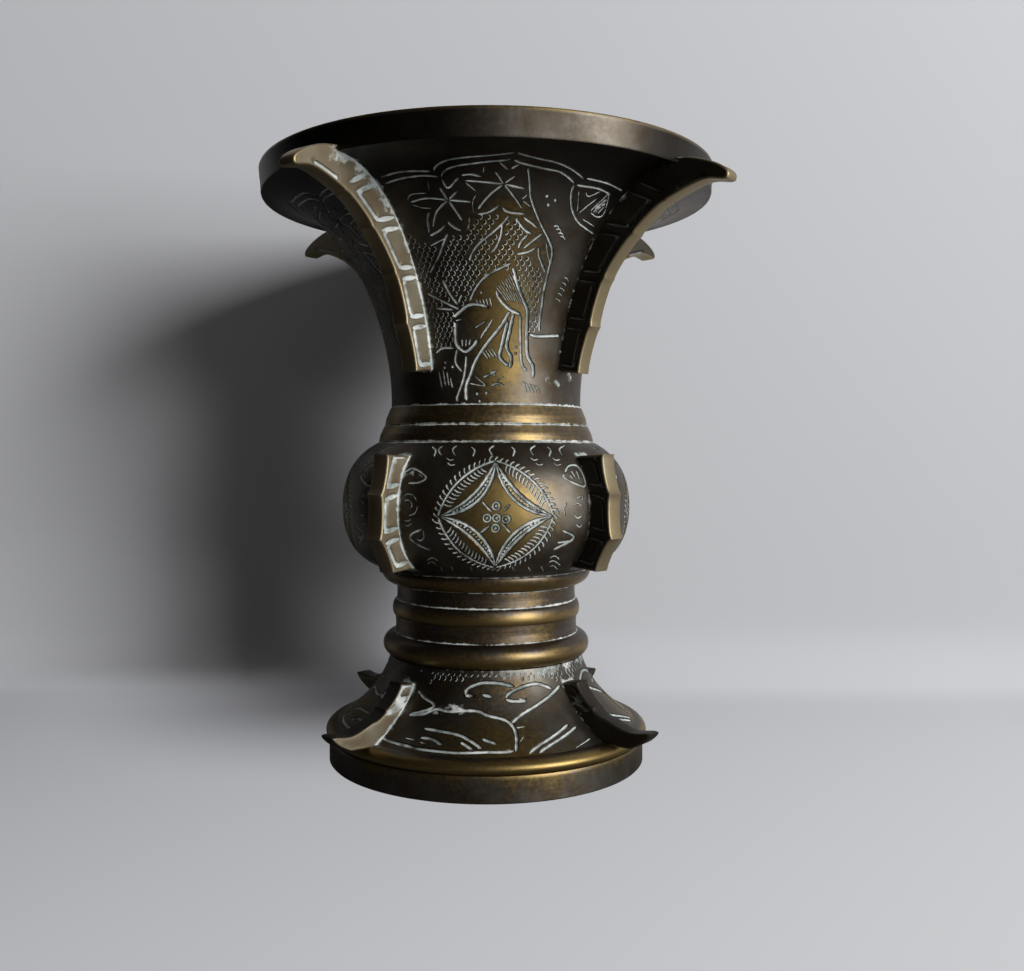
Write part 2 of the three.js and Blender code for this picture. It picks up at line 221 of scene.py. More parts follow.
paper_material = bpy.data.materials.new("matt_paper")
tree = emptied(paper_material)
place = add_node(tree, "ShaderNodeTexCoord").outputs["Object"]
across, back, up = add_node(tree, "ShaderNodeSeparateXYZ", Vector=place).outputs

# The paper's own colour, on the wall and on the floor
on_floor = ranged(tree, up, FLOOR_EDGE[0] * MM, FLOOR_EDGE[1] * MM, 1.0, 0.0)
own = blend(tree, on_floor, linear(PAPER_COLOUR), linear(FLOOR_COLOUR))
matt = add_node(tree, "ShaderNodeBsdfDiffuse", Color=own)

# The lifted floor: painted paler to the front and to the right, where the window lights it more, with the
# painted shadow
to_right = ranged(tree, across, -FADE_WIDTH * MM, FADE_WIDTH * MM)
to_front = ranged(tree, back, FLOOR_DEPTH[0] * MM, FLOOR_DEPTH[1] * MM)
pale_left = blend(tree, to_front, linear(FLOOR_BACK_LEFT), linear(FLOOR_FRONT_LEFT))
pale_right = blend(tree, to_front, linear(FLOOR_BACK_RIGHT), linear(FLOOR_FRONT_RIGHT))
pale = blend(tree, to_right, pale_left, pale_right)
shade_gap = add_node(tree, "ShaderNodeVectorMath", {"operation": "DISTANCE"}, i0=place,
                     i1=Vector(SHADE_PLACE) * MM).outputs["Value"]
shade = ranged(tree, shade_gap, 0.0, SHADE_REACH * MM, 1.0, 0.0, "SMOOTHSTEP")
even = add_node(tree, "ShaderNodeEmission", Color=blend(tree, shade, pale, linear(SHADE_COLOUR)))

# How much of the lift shows: it fades out up the bend, and metal mirrors more of it on the right
path = add_node(tree, "ShaderNodeLightPath").outputs
fade = ranged(tree, across, -FADE_WIDTH / 2 * MM, FADE_WIDTH / 2 * MM, FADE_HEIGHT[0] * MM,
              FADE_HEIGHT[1] * MM)
low = ranged(tree, up, 0.0, fade, 1.0, 0.0, "SMOOTHSTEP")
mirrored_share = ranged(tree, across, MIRROR_EDGE[0] * MM, MIRROR_EDGE[1] * MM, *FLOOR_MIRRORED)
in_metal = worked(tree, "MULTIPLY", path["Is Glossy Ray"], mirrored_share)
seen = worked(tree, "MULTIPLY_ADD", path["Is Camera Ray"], FLOOR_SHARE, in_metal)
lifted = add_node(tree, "ShaderNodeMixShader", i0=worked(tree, "MULTIPLY", low, seen), i1=matt, i2=even)

# Clear from behind
clear = add_node(tree, "ShaderNodeBsdfTransparent")
backfacing = add_node(tree, "ShaderNodeNewGeometry").outputs["Backfacing"]
one_sided = add_node(tree, "ShaderNodeMixShader", i0=backfacing, i1=lifted, i2=clear)
add_node(tree, "ShaderNodeOutputMaterial", Surface=one_sided)
paper_mesh.materials.append(paper_material)
print("paper finish has", len(tree.nodes), "nodes")

# %% Room and window
ROOM_COLOUR = "#1c1b1a"
FILL_COLOUR = "#545351"
BACKGROUND_COLOUR = "#c3c4c8"
WINDOW_TURN = 49.0
WINDOW_RISE = 6.0
WINDOW_DISTANCE = 1.9
WINDOW_WIDTH = 0.88
WINDOW_HEIGHT = 1.7
WINDOW_WATTS = 64.0

# The room is darker in the metal's mirror than in the soft light that it gives, and pale to the lens
world = bpy.data.worlds.new("room")
bpy.context.scene.world = world
tree = emptied(world)
path = add_node(tree, "ShaderNodeLightPath").outputs
dim = blend(tree, path["Is Diffuse Ray"], linear(ROOM_COLOUR), linear(FILL_COLOUR))
room = add_node(tree, "ShaderNodeBackground", Color=dim)
beyond = add_node(tree, "ShaderNodeBackground", Color=linear(BACKGROUND_COLOUR))
around = add_node(tree, "ShaderNodeMixShader", i0=path["Is Camera Ray"], i1=room, i2=beyond)
add_node(tree, "ShaderNodeOutputWorld", Surface=around)

window_data = bpy.data.lights.new("window", "AREA")
window_data.shape = "RECTANGLE"
window_data.size = WINDOW_WIDTH
window_data.size_y = WINDOW_HEIGHT
window_data.energy = WINDOW_WATTS
window = placed("window", window_data)
turn, rise = math.radians(WINDOW_TURN), math.radians(WINDOW_RISE)
towards_window = Vector((math.sin(turn) * math.cos(rise), -math.cos(turn) * math.cos(rise), math.sin(rise)))
window.location = towards_window * WINDOW_DISTANCE + Vector((0, 0, CAMERA_HEIGHT * MM))
window.rotation_euler = towards_window.to_track_quat("Z", "Y").to_euler()
bpy.context.scene.view_settings.view_transform = "Standard"
print("window at", [round(x, 2) for x in window.location], "m")


# %% [markdown]
# Walls of the cast sections
#
# Neck, belly and foot are bells turned about the axis, so each outer face is one curve of radius against
# height. The main sizes come from the CAD nodes' boxes, and the same curves that shaped the solids are
# drawn again here, finely enough to look round. A wall knows its place and its outward direction at any
# distance up its curve, which is what engraving on it needs.

# %% Curves of radius and height, in mm
FINE_STEPS = 400
WALL_THICKNESS = 3.0
BASE_TOP = level("base_ring", 1)
STEM_BOTTOM = level("foot", 1)
BULB_BOTTOM = level("bulb", 0)
COLLAR_BOTTOM = level("bulb", 1)
NECK_BOTTOM = level("collar", 1)
LIP_TOP = level("neck", 1)

# Neck, up to the lip that it carries
LIP_HEIGHT = 6.5
LIP_BOTTOM = LIP_TOP - LIP_HEIGHT
LIP_RADIUS = reach("neck")
LIP_LEAN = 0.6
LIP_FOOT_RADIUS = LIP_RADIUS - LIP_LEAN
THROAT_RADIUS = 24.6
NECK_WAIST = 0.5
NECK_RISE = 23.0
NECK_FLARE_RUN = 20.0

# Bulb
BULB_RADIUS = reach("bulb")
BULB_BELLY = BULB_BOTTOM + 16.0
BULB_FOOT_RADIUS = 26.6
BULB_TOP_RADIUS = 28.0
BULB_FOOT_RUN = 6.6
BULB_FOOT_RISE = 2.1
BULB_LOWER_ROUND = 9.0
BULB_UPPER_ROUND = 10.0
BULB_SHOULDER_RUN = 4.0
BULB_SHOULDER_DROP = 2.0

# Foot
BASE_RADIUS = reach("base_ring")
FOOT_TOP_RADIUS = 24.9
FOOT_SEAT_RADIUS = BASE_RADIUS - 0.9
FOOT_SHOULDER_RADIUS = FOOT_SEAT_RADIUS - 1.4
FOOT_SHOULDER = BASE_TOP + 3.5
FOOT_SKIRT_RUN = 6.0
FOOT_SKIRT_RISE = 4.1
FOOT_NECK_RUN = 1.8
FOOT_NECK_DROP = 7.3


def bezier(start, start_handle, end_handle, end):
    """Points along a cubic curve between two (radius, height) places."""
    t = np.linspace(0, 1, FINE_STEPS + 1)[:, None]
    a, b, c, d = (np.array(p, float) for p in (start, start_handle, end_handle, end))
    return (1 - t) ** 3 * a + 3 * (1 - t) ** 2 * t * b + 3 * (1 - t) * t ** 2 * c + t ** 3 * d


def travelled(points):
    """The distance along a line at each of its points."""
    return np.concatenate([[0.0], np.cumsum(np.hypot(*np.diff(points, axis=0).T))])


def unit(rows):
    """Each row as a direction of length 1."""
    return rows / np.linalg.norm(rows, axis=1)[:, None]


class Wall:
    """A turned outer face: its radius, height and outward direction by distance up the curve."""

    def __init__(self, points):
        self.points = points
        self.distance = travelled(points)
        along = unit(np.gradient(points, self.distance, axis=0))
        self.out = np.column_stack([along[:, 1], -along[:, 0]])
        self.length = self.distance[-1]

    def at(self, distance):
        """Radius, height and the two parts of the outward direction at each distance."""
        columns = (*self.points.T, *self.out.T)
        return [np.interp(distance, self.distance, column) for column in columns]

    def off(self, distance, depth):
        """Places (radius, height) that stand off the face by a depth at each distance."""
        radius, height, out_radius, out_height = self.at(distance)
        return np.column_stack([radius + depth * out_radius, height + depth * out_height])

    def radius_at(self, height):
        """The radius at each height."""
        return np.interp(height, self.points[:, 1], self.points[:, 0])

    def nearest(self, radius, height):
        """The distance up the curve that is nearest to each place."""
        gaps = (self.points[:, 0] - radius[:, None]) ** 2 + (self.points[:, 1] - height[:, None]) ** 2
        return self.distance[gaps.argmin(axis=1)]

    def seats(self, heights):
        """The distance up the curve at each height."""
        return self.nearest(self.radius_at(heights), heights)


neck_wall = Wall(bezier((THROAT_RADIUS, NECK_BOTTOM), (THROAT_RADIUS - NECK_WAIST, NECK_BOTTOM + NECK_RISE),
                        (LIP_FOOT_RADIUS - NECK_FLARE_RUN, LIP_BOTTOM), (LIP_FOOT_RADIUS, LIP_BOTTOM)))
bulb_lower = bezier((BULB_FOOT_RADIUS, BULB_BOTTOM),
                    (BULB_FOOT_RADIUS + BULB_FOOT_RUN, BULB_BOTTOM + BULB_FOOT_RISE),
                    (BULB_RADIUS, BULB_BELLY - BULB_LOWER_ROUND), (BULB_RADIUS, BULB_BELLY))
bulb_upper = bezier((BULB_RADIUS, BULB_BELLY), (BULB_RADIUS, BULB_BELLY + BULB_UPPER_ROUND),
                    (BULB_TOP_RADIUS + BULB_SHOULDER_RUN, COLLAR_BOTTOM - BULB_SHOULDER_DROP),
                    (BULB_TOP_RADIUS, COLLAR_BOTTOM))
bulb_wall = Wall(np.vstack([bulb_lower, bulb_upper[1:]]))
foot_wall = Wall(bezier((FOOT_SHOULDER_RADIUS, FOOT_SHOULDER),
                        (FOOT_SHOULDER_RADIUS - FOOT_SKIRT_RUN, FOOT_SHOULDER + FOOT_SKIRT_RISE),
                        (FOOT_TOP_RADIUS + FOOT_NECK_RUN, STEM_BOTTOM - FOOT_NECK_DROP),
                        (FOOT_TOP_RADIUS, STEM_BOTTOM)))
for name, wall in (("neck", neck_wall), ("bulb", bulb_wall), ("foot", foot_wall)):
    print(name, "wall is", round(wall.length, 1), "mm up its curve")


# %% [markdown]
# Reading a place on the wall from a pixel
#
# The engraved scene is hand work with no rule behind it, so its lines are written as pixels of the
# photograph, a few points for each stroke of the graver. A ray from the lens through a pixel meets the
# wall at one place: its angle round the vase and its distance up the curve. Drawn there, the stroke
# keeps its shape from every side.

# %% From a pixel to the wall
RAY_STEPS = 1500
RAY_DEPTH = 75.0


def on_wall(wall, pixels):
    """The angle from the front, in radians, and the distance up the wall under each pixel."""
    pixels = np.array(pixels, float)
    across = (pixels[:, :1] - AXIS_COLUMN) / FOCAL_PIXELS
    upward = (HORIZON_ROW - pixels[:, 1:]) / FOCAL_PIXELS
    travel = np.linspace(CAMERA_DISTANCE - RAY_DEPTH, CAMERA_DISTANCE, RAY_STEPS)[None, :]
    x, y, z = across * travel, travel - CAMERA_DISTANCE, CAMERA_HEIGHT + upward * travel
    inside = np.hypot(x, y) < wall.radius_at(z)
    first = inside.argmax(axis=1)
    rows = np.arange(len(pixels))
    x, y, z = x[rows, first], np.broadcast_to(y, x.shape)[rows, first], z[rows, first]
    return np.column_stack([np.arctan2(x, -y), wall.nearest(np.hypot(x, y), z)])


# %% [markdown]
# Cutting the engraving
#
# A graver leaves a V-shaped groove that starts fine, swells and runs out. Bump in a material can't do
# that: the cuts must be in the mesh. A panel of wall is laid out flat, the two edges and the floor of
# every groove become fixed lines in it, and Blender's constrained triangulation fills in the rest, so
# triangles go only where a cut needs them. The floor of each groove is then sunk into the metal when the
# panel is wrapped back round the vase.

# %% Strokes of the graver on a flat panel
STROKE_STEP = 0.5
TIP_LENGTH = 0.7
TIP_SHARE = 0.22
TIP_TAPER = 0.55
TREMOR = 0.1
TREMOR_PACE = 3.1
TREMOR_START = 7.0
CUT_SLOPE = 0.85
FULL_CUT = 0.48
MOST_HELD = 1.2
CUT_REACH = 1.0
CUT_CLEAR = 0.22
FAR = 1e3
TINY = 1e-6


class Stroke:
    """One cut on a flat panel, in mm: middle line, half width, depth, and how well it holds polish."""

    def __init__(self, line, width, closed=False, depth=None, tip=None, taper=TIP_TAPER, tremor=TREMOR,
                 hold=None):
        self.closed = closed
        self.hold = min(MOST_HELD, width / FULL_CUT) if hold is None else hold
        self.line = line
        run = travelled(line)
        swell = np.ones(len(line))
        if not closed:
            tip = min(TIP_LENGTH, run[-1] * TIP_SHARE) if tip is None else tip
            swell = np.clip(np.minimum(run, run[-1] - run) / tip, 0, 1) ** taper
        wander = np.sin(run * TREMOR_PACE + line[0, 0] * TREMOR_START)
        self.half = swell * width / 2 * (1 + tremor * wander)
        self.depth = swell * (width / 2 * CUT_SLOPE if depth is None else depth)

    def outlined(self):
        """The middle line, half width and depth, with a closed stroke's start repeated at its end."""
        values = (self.line, self.half, self.depth)
        return [np.concatenate([v, v[:1]]) for v in values] if self.closed else values


def smooth_line(points):
    """A curve through the points, with a step short enough for the bends to look round."""
    points = np.array(points, float)
    if len(points) == 2:
        count = max(2, math.ceil(np.hypot(*(points[1] - points[0])) / STROKE_STEP))
        return points[0] + (points[1] - points[0]) * np.linspace(0, 1, count + 1)[:, None]
    track = np.vstack([2 * points[0] - points[1], points, 2 * points[-1] - points[-2]])
    pieces = []
    for a, b, c, d in zip(track, track[1:], track[2:], track[3:]):
        count = max(1, math.ceil(np.hypot(*(c - b)) / STROKE_STEP))
        t = np.linspace(0, 1, count, endpoint=False)[:, None]
        bent = (2 * a - 5 * b + 4 * c - d) * t ** 2 + (3 * b - a - 3 * c + d) * t ** 3
        pieces.append(0.5 * (2 * b + (c - a) * t + bent))
    return np.vstack([*pieces, points[-1:]])


def cut_depth(places, strokes, stretch):
    """How deep each flat place lies in the cuts, its share of that cut, and its gap to the nearest."""
    deep, filled = np.zeros(len(places)), np.zeros(len(places))
    clear = np.full(len(places), FAR)
    for stroke in strokes:
        line, half, depth = stroke.outlined()
        low, high = line.min(axis=0) - CUT_REACH, line.max(axis=0) + CUT_REACH
        near = np.flatnonzero(((places > low) & (places < high)).all(axis=1))
        if not len(near):
            continue
        scale = np.column_stack([stretch(places[near, 1]), np.ones(len(near))])[:, None, :]
        offset = (places[near][:, None] - line[None, :-1]) * scale
        step = np.diff(line, axis=0)[None] * scale
        along = np.clip((offset * step).sum(2) / np.maximum((step ** 2).sum(2), TINY ** 2), 0, 1)
        gap = np.linalg.norm(offset - step * along[..., None], axis=2)
        width = half[:-1] + (half[1:] - half[:-1]) * along
        floor = depth[:-1] + (depth[1:] - depth[:-1]) * along
        share = np.clip(1 - gap / np.maximum(width, TINY), 0, 1)
        held = np.minimum(1, stroke.hold * share * width / stroke.half.max())
        deep[near] = np.maximum(deep[near], (floor * share).max(axis=1))
        filled[near] = np.maximum(filled[near], held.max(axis=1))
        clear[near] = np.minimum(clear[near], (gap - width).min(axis=1))
    return deep, filled, clear


def engraved_panel(border, filling, strokes, stretch):
    """Triangulates a flat panel with its cuts. Gives places, depths, cut shares and triangles."""
    points = [border]
    edges = [(i, (i + 1) % len(border)) for i in range(len(border))]
    count = len(border)
    for stroke in strokes:
        along = np.gradient(stroke.line, axis=0)
        if stroke.closed:
            along = np.roll(stroke.line, -1, axis=0) - np.roll(stroke.line, 1, axis=0)
        wide = stretch(stroke.line[:, 1])
        along = unit(along * np.column_stack([wide, np.ones(len(wide))]))
        across = np.column_stack([-along[:, 1] / wide, along[:, 0]]) * stroke.half[:, None]
        for chain in (stroke.line + across, stroke.line, stroke.line - across):
            points.append(chain)
            links = range(len(chain)) if stroke.closed else range(len(chain) - 1)
            edges += [(count + i, count + (i + 1) % len(chain)) for i in links]
            count += len(chain)
    clear = cut_depth(filling, strokes, stretch)[2]
    points.append(filling[clear > CUT_CLEAR])
    flat = [Vector(p) for p in np.vstack(points)]
    corners, _, triangles, *_ = delaunay_2d_cdt(flat, edges, [], 0, TINY, False)
    corners = np.array([(c.x, c.y) for c in corners])
    deep, filled, _ = cut_depth(corners, strokes, stretch)
    return corners, deep, filled, np.array(triangles)


print("groove of a", FULL_CUT, "mm cut is", round(FULL_CUT / 2 * CUT_SLOPE, 2), "mm deep")


# %% [markdown]
# Old bronze
#
# Every section is bronze that has browned with age. Where a cloth reaches, the brown is rubbed through to
# yellow metal, grime darkens what no cloth reaches, and metal polish has dried white in the cuts and
# corners. Light and shade are painted in the same shares: painted shade darkens the skin under the lip,
# on the sides away from the light and along the upper edges of the cuts, and bare metal on the lower
# halves of the stem's mouldings is partly a painted highlight. So one recipe serves all: a mottled brown
# skin, bare metal where the mesh says rubbed, grime and painted shade where it says less than nothing,
# and a dry pale filling where it says cut or seam. Those three shares are stored on the mesh, because
# they follow the shape, and noise on Object coordinates breaks their edges up.

# %% A recipe for bronze finishes
FILLING_COLOUR = "#d6d9d6"
CRUST_COLOUR = "#95a09d"
# Grime, and the painted shade under the lip, on sides away from the light and along the edges of the cuts
GRIME_AND_SHADE_COLOUR = "#1f1c19"

# Sizes in mm of the clouds in the skin, the specks in it, the crumbs of polish and the turning marks
CLOUD_SIZE = 7.0
SPECK_SIZE = 0.9
CRUMB_GRAIN = 2.6
MARK_SIZE = 0.5
MARK_FLATTENED = (0.06, 0.06, 1.0)

# Ranges and weights of noise that break up the rubbed, cut and seam shares, and how far painted shade reaches
# into the edges of a cut
CLOUD_RANGE = (0.35, 0.65)
SPECK_WEAR = 0.7
CLOUD_WEAR = 0.9
WORN_RANGE = (0.9, 1.75)
CUT_SHADE_SHARE = 0.1
HELD_RANGE = (0.2, 0.62)
MISSING_RANGE = (0.3, 0.5)
MISSING_KEPT = 0.35
SEAM_CRUMBS = 0.9
SEAM_SPECKS = 0.8
SEAM_RANGE = (1.3, 1.62)

# Roughness of the dried polish, how far specks roughen the metal, and the bump of its grain
CHALK_ROUGHNESS = 0.95
SPECK_ROUGHNESS = 0.16
GRAIN_STRENGTH = 0.35
GRAIN_DEPTH = 0.05


def noise(tree, place, size, detail):
    """Noise with lumps of about this size in mm."""
    return add_node(tree, "ShaderNodeTexNoise", Vector=place, Scale=1 / (size * MM), Detail=detail)


def bronze_finish(name, skin, skin_shade, skin_metal, metal, skin_roughness, roughness, streak, cut_edge_shade):
    """Aged bronze: a mottled skin over bare metal, with dried polish in its cuts."""
    material = bpy.data.materials.new(name)
    tree = emptied(material)
    place = add_node(tree, "ShaderNodeTexCoord").outputs["Object"]
    cut, seam, rub_and_painted_light = (add_node(tree, "ShaderNodeAttribute", {"attribute_name": share}).outputs["Fac"]
                      for share in ("cut", "seam", "rub_and_painted_light"))
    clouds = noise(tree, place, CLOUD_SIZE, 4.0)
    specks = noise(tree, place, SPECK_SIZE, 3.0)
    crumbs = noise(tree, place, CRUMB_GRAIN, 4.0)

    # Turning and polishing marks run round the axis
    flat = add_node(tree, "ShaderNodeMapping", Vector=place, Scale=MARK_FLATTENED)
    marks = noise(tree, flat, MARK_SIZE, 2.0)

    # Mottled skin, darkened by grime and by painted shade where the rubbed share is below nothing
    cloudy = ranged(tree, clouds, *CLOUD_RANGE)
    brown = blend(tree, cloudy, linear(skin), linear(skin_shade))
    skin_seen = blend(tree, ranged(tree, rub_and_painted_light, 0.0, -1.0), brown, linear(GRIME_AND_SHADE_COLOUR))

    # Rubbed share, broken up by specks, marks and clouds
    speckled = worked(tree, "MULTIPLY_ADD", specks, SPECK_WEAR, rub_and_painted_light)
    streaked = worked(tree, "MULTIPLY_ADD", marks, streak, speckled)
    patchy = worked(tree, "MULTIPLY_ADD", clouds, CLOUD_WEAR, streaked)
    worn = ranged(tree, patchy, WORN_RANGE[0] + streak / 2, WORN_RANGE[1] + streak / 2, kind="SMOOTHSTEP")
    bare = blend(tree, worn, skin_seen, linear(metal))

    # Painted shade along the upper edges of a cut
    edge = ranged(tree, cut, 0.0, CUT_SHADE_SHARE, 0.0, cut_edge_shade)
    cut_shaded = blend(tree, edge, bare, linear(GRIME_AND_SHADE_COLOUR))

    # Dried polish: full in the cuts but for crumbs that fell out, patchy along the seams
    held = ranged(tree, cut, *HELD_RANGE, kind="SMOOTHSTEP")
    kept = worked(tree, "MULTIPLY", held, ranged(tree, crumbs, *MISSING_RANGE, MISSING_KEPT))
    gathered = worked(tree, "MULTIPLY_ADD", crumbs, SEAM_CRUMBS, seam)
    in_seam = worked(tree, "MULTIPLY_ADD", specks, SEAM_SPECKS, gathered)
    filled = worked(tree, "MAXIMUM", kept, ranged(tree, in_seam, *SEAM_RANGE, kind="SMOOTHSTEP"))
    dry = blend(tree, cloudy, linear(FILLING_COLOUR), linear(CRUST_COLOUR))
    colour = blend(tree, filled, cut_shaded, dry)
    clean = ranged(tree, worn, 0.0, 1.0, skin_metal, 1.0)
    metallic = add_node(tree, "ShaderNodeMix", i0=filled, i2=clean, i3=0.0)

    # Bare metal is smoother than the skin, and dried polish is chalky
    sheen = ranged(tree, worn, 0.0, 1.0, skin_roughness, roughness)
    grainy = worked(tree, "MULTIPLY_ADD", specks, SPECK_ROUGHNESS, sheen)
    chalky = add_node(tree, "ShaderNodeMix", i0=filled, i2=grainy, i3=CHALK_ROUGHNESS)
    grain = worked(tree, "MULTIPLY_ADD", marks, streak, specks)
    bump = add_node(tree, "ShaderNodeBump", Height=grain, Strength=GRAIN_STRENGTH, Distance=GRAIN_DEPTH * MM)
    shader = add_node(tree, "ShaderNodeBsdfPrincipled", Base_Color=colour, Metallic=metallic,
                      Roughness=chalky, Normal=bump)
    add_node(tree, "ShaderNodeOutputMaterial", Surface=shader)
    return material


# %% Three finishes
# Cast bronze, engraved and browned: dark, satin, golden where it is rubbed, with painted shade along the
# edges of its cuts
cast_bronze = bronze_finish("cast_browned_bronze", skin="#615c54", skin_shade="#4c4236", skin_metal=1.0,
                            metal="#8a7549", skin_roughness=0.38, roughness=0.35, streak=0.25, cut_edge_shade=0.85)
# Turned bronze, polished more often than the cast sections: brassy, with fine rings
turned_bronze = bronze_finish("turned_rubbed_bronze", skin="#57504a", skin_shade="#4d4236", skin_metal=1.0,
                              metal="#8a754b", skin_roughness=0.35, roughness=0.32, streak=0.6, cut_edge_shade=0.0)
# Plate bronze, sawn and filed: greyer faces with brown clouds, yellow edges, and some painted shade along the
# edges of its cuts
plate_bronze = bronze_finish("sawn_plate_bronze", skin="#8a8470", skin_shade="#7b6c57", skin_metal=0.8,
                             metal="#958667", skin_roughness=0.45, roughness=0.42, streak=0.15, cut_edge_shade=0.35)
print("finishes:", ", ".join(m.name for m in (cast_bronze, turned_bronze, plate_bronze)))


# %% [markdown]
# Making a piece from worked-out points
#
# Each piece ends the same way: its three finish shares are stored, its faces are shaded smooth except
# over sharp edges, and then it takes its CAD node's place. White polish gathers in the same corners for
# every piece, the rings where two mouldings meet, so one list of them serves all.

# %% Corners where polish dries, and a helper that finishes a piece
CORNER_WIDTH = 0.85
SHARP_ANGLE = math.radians(32)
LOWER_BAND = STEM_BOTTOM + 5.9
BEAD = LOWER_BAND + 4.3
UPPER_BAND = BEAD + 4.1
CORNICE = UPPER_BAND + 4.05
COLLAR_STEP = COLLAR_BOTTOM + 4.2

# Radius, height and amount of polish of each corner
CORNERS = np.array([
    (FOOT_TOP_RADIUS - 0.6, STEM_BOTTOM, 0.8),
    (FOOT_TOP_RADIUS - 1.2, LOWER_BAND, 0.84),
    (FOOT_TOP_RADIUS - 1.7, UPPER_BAND, 0.88),
    (FOOT_TOP_RADIUS - 1.7, CORNICE, 0.82),
    (BULB_FOOT_RADIUS, BULB_BOTTOM, 0.84),
    (BULB_TOP_RADIUS, COLLAR_BOTTOM, 0.97),
    (BULB_TOP_RADIUS - 1.6, COLLAR_STEP, 0.95),
    (THROAT_RADIUS, NECK_BOTTOM, 0.9),
])


def corner_share(radius, height):
    """How much polish each place holds: a corner's amount in it, 0 past the width of the polish."""
    gaps = np.hypot(radius[:, None] - CORNERS[:, 0], height[:, None] - CORNERS[:, 1])
    return np.clip((CORNERS[:, 2] - gaps / CORNER_WIDTH).max(axis=1), 0, 1)


def finish_piece(name, mesh, shares, material, node):
    """Stores the finish shares, shades the mesh and puts it in its CAD node's place."""
    for share, values in shares.items():
        layer = mesh.attributes.new(share, "FLOAT", "POINT")
        layer.data.foreach_set("value", np.asarray(values, np.float32))
    mesh.shade_smooth()
    mesh.set_sharp_from_angle(angle=SHARP_ANGLE)
    mesh.materials.clear()
    mesh.materials.append(material)
    piece = placed(name, mesh)
    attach(piece, "root")
    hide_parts(node)
    mesh.calc_loop_triangles()
    print(name, "for", node, len(mesh.loop_triangles), "triangles")


# %% [markdown]
# Turned sections
#
# The base ring, the stem and the collar came off a lathe: one outline swept once round the axis. That is
# a rule, so a small Geometry Nodes tree makes them. It sweeps an outline round a circle, and its inputs
# are the circle's radius, the number of steps and the finish. The outline is drawn up the outside and
# down the inside, in mm, with rounded mouldings.

# %% Node tree that turns an outline
TURN_STEPS = 240
HUB_RADIUS = 20.0
MOULDING_STEPS = 20
OUTLINE_RUN = 0.45


def inlets(tree, kinds):
    """Adds named inputs of these kinds to a node tree."""
    return {name: tree.interface.new_socket(name, in_out="INPUT", socket_type="NodeSocket" + kind)
            for name, kind in kinds.items()}


lathe = bpy.data.node_groups.new("turn_an_outline", "GeometryNodeTree")
lathe_sockets = inlets(lathe, {"Outline": "Geometry", "Hub radius": "Float", "Steps": "Int",
                               "Finish": "Material"})
lathe.interface.new_socket("Section", in_out="OUTPUT", socket_type="NodeSocketGeometry")
lathe_in = add_node(lathe, "NodeGroupInput").outputs
outline_curve = add_node(lathe, "GeometryNodeMeshToCurve", Mesh=lathe_in["Outline"])
hub_circle = add_node(lathe, "GeometryNodeCurvePrimitiveCircle", Resolution=lathe_in["Steps"],
                      Radius=lathe_in["Hub radius"])
upright = add_node(lathe, "GeometryNodeSetCurveNormal", {"mode": "Z_UP"}, Curve=hub_circle)
swept = add_node(lathe, "GeometryNodeCurveToMesh", Curve=upright, Profile_Curve=outline_curve)
faced_out = add_node(lathe, "GeometryNodeFlipFaces", Mesh=swept)
section = add_node(lathe, "GeometryNodeRealizeInstances", Geometry=faced_out)
finished = add_node(lathe, "GeometryNodeSetMaterial", Geometry=section, Material=lathe_in["Finish"])
add_node(lathe, "NodeGroupOutput", Section=finished)


def grown(mesh, tree, sockets, values):
    """The plain mesh that a node tree makes from a mesh and the named values of its inputs."""
    scratch = placed("scratch", mesh)
    modifier = scratch.modifiers.new("nodes", "NODES")
    modifier.node_group = tree
    for name, value in values.items():
        modifier[sockets[name].identifier] = value
    scratch.update_tag()
    depsgraph = bpy.context.evaluated_depsgraph_get()
    made = bpy.data.meshes.new_from_object(scratch.evaluated_get(depsgraph))
    scratch.modifiers.clear()
    bpy.data.objects.remove(scratch)
    return made


def moulding(low_radius, low, high_radius, high, bulge):
    """A half-round moulding from one level to the next."""
    share = np.linspace(0, 1, MOULDING_STEPS + 1)
    bend = (share - 0.5) * math.pi
    radius = low_radius + (high_radius - low_radius) * share + bulge * np.cos(bend)
    return list(zip(radius, (low + high + (high - low) * np.sin(bend)) / 2))


def divided(outline):
    """The outline with its long straight stretches cut into steps."""
    points = []
    for start, end in zip(outline, [*outline[1:], outline[0]]):
        count = max(1, round(math.dist(start, end) / OUTLINE_RUN))
        start, end = np.array(start), np.array(end)
        points += [tuple(start + (end - start) * i / count) for i in range(count)]
    return points


def turned_section(name, outline, rubbed, finish):
    """Turns a closed outline of (radius, height) places; rubbed gives the rubbed share of each place, painted
    light included.
    """
    points = divided(outline)
    mesh = bpy.data.meshes.new(name + "_outline")
    loop = [(i, (i + 1) % len(points)) for i in range(len(points))]
    mesh.from_pydata([((r - HUB_RADIUS) * MM, -z * MM, 0) for r, z in points], loop, [])
    made = grown(mesh, lathe, lathe_sockets,
                 {"Hub radius": HUB_RADIUS * MM, "Steps": TURN_STEPS, "Finish": finish})
    made.name = name
    places = np.array([v.co for v in made.vertices]) / MM
    radius, height = np.hypot(places[:, 0], places[:, 1]), places[:, 2]
    shares = {"cut": np.zeros(len(places)), "seam": corner_share(radius, height),
              "rub_and_painted_light": rubbed(radius, height)}
    return made, shares


print("lathe tree has", len(lathe.nodes), "nodes and turns in", TURN_STEPS, "steps")


# %% [markdown]
# Punched rows
#
# Fish-scale ground, the medallion's fringe and the hatching in its petals are one small curved punch
# struck again and again along a line. A second Geometry Nodes tree does that: it spaces points along a
# path, sets a short arc on each, and leans it. The marks come back as lines on the flat panel, and are
# cut in with the drawn strokes.

# %% Node tree that strikes a punch along a path
MARK_POINTS = 7

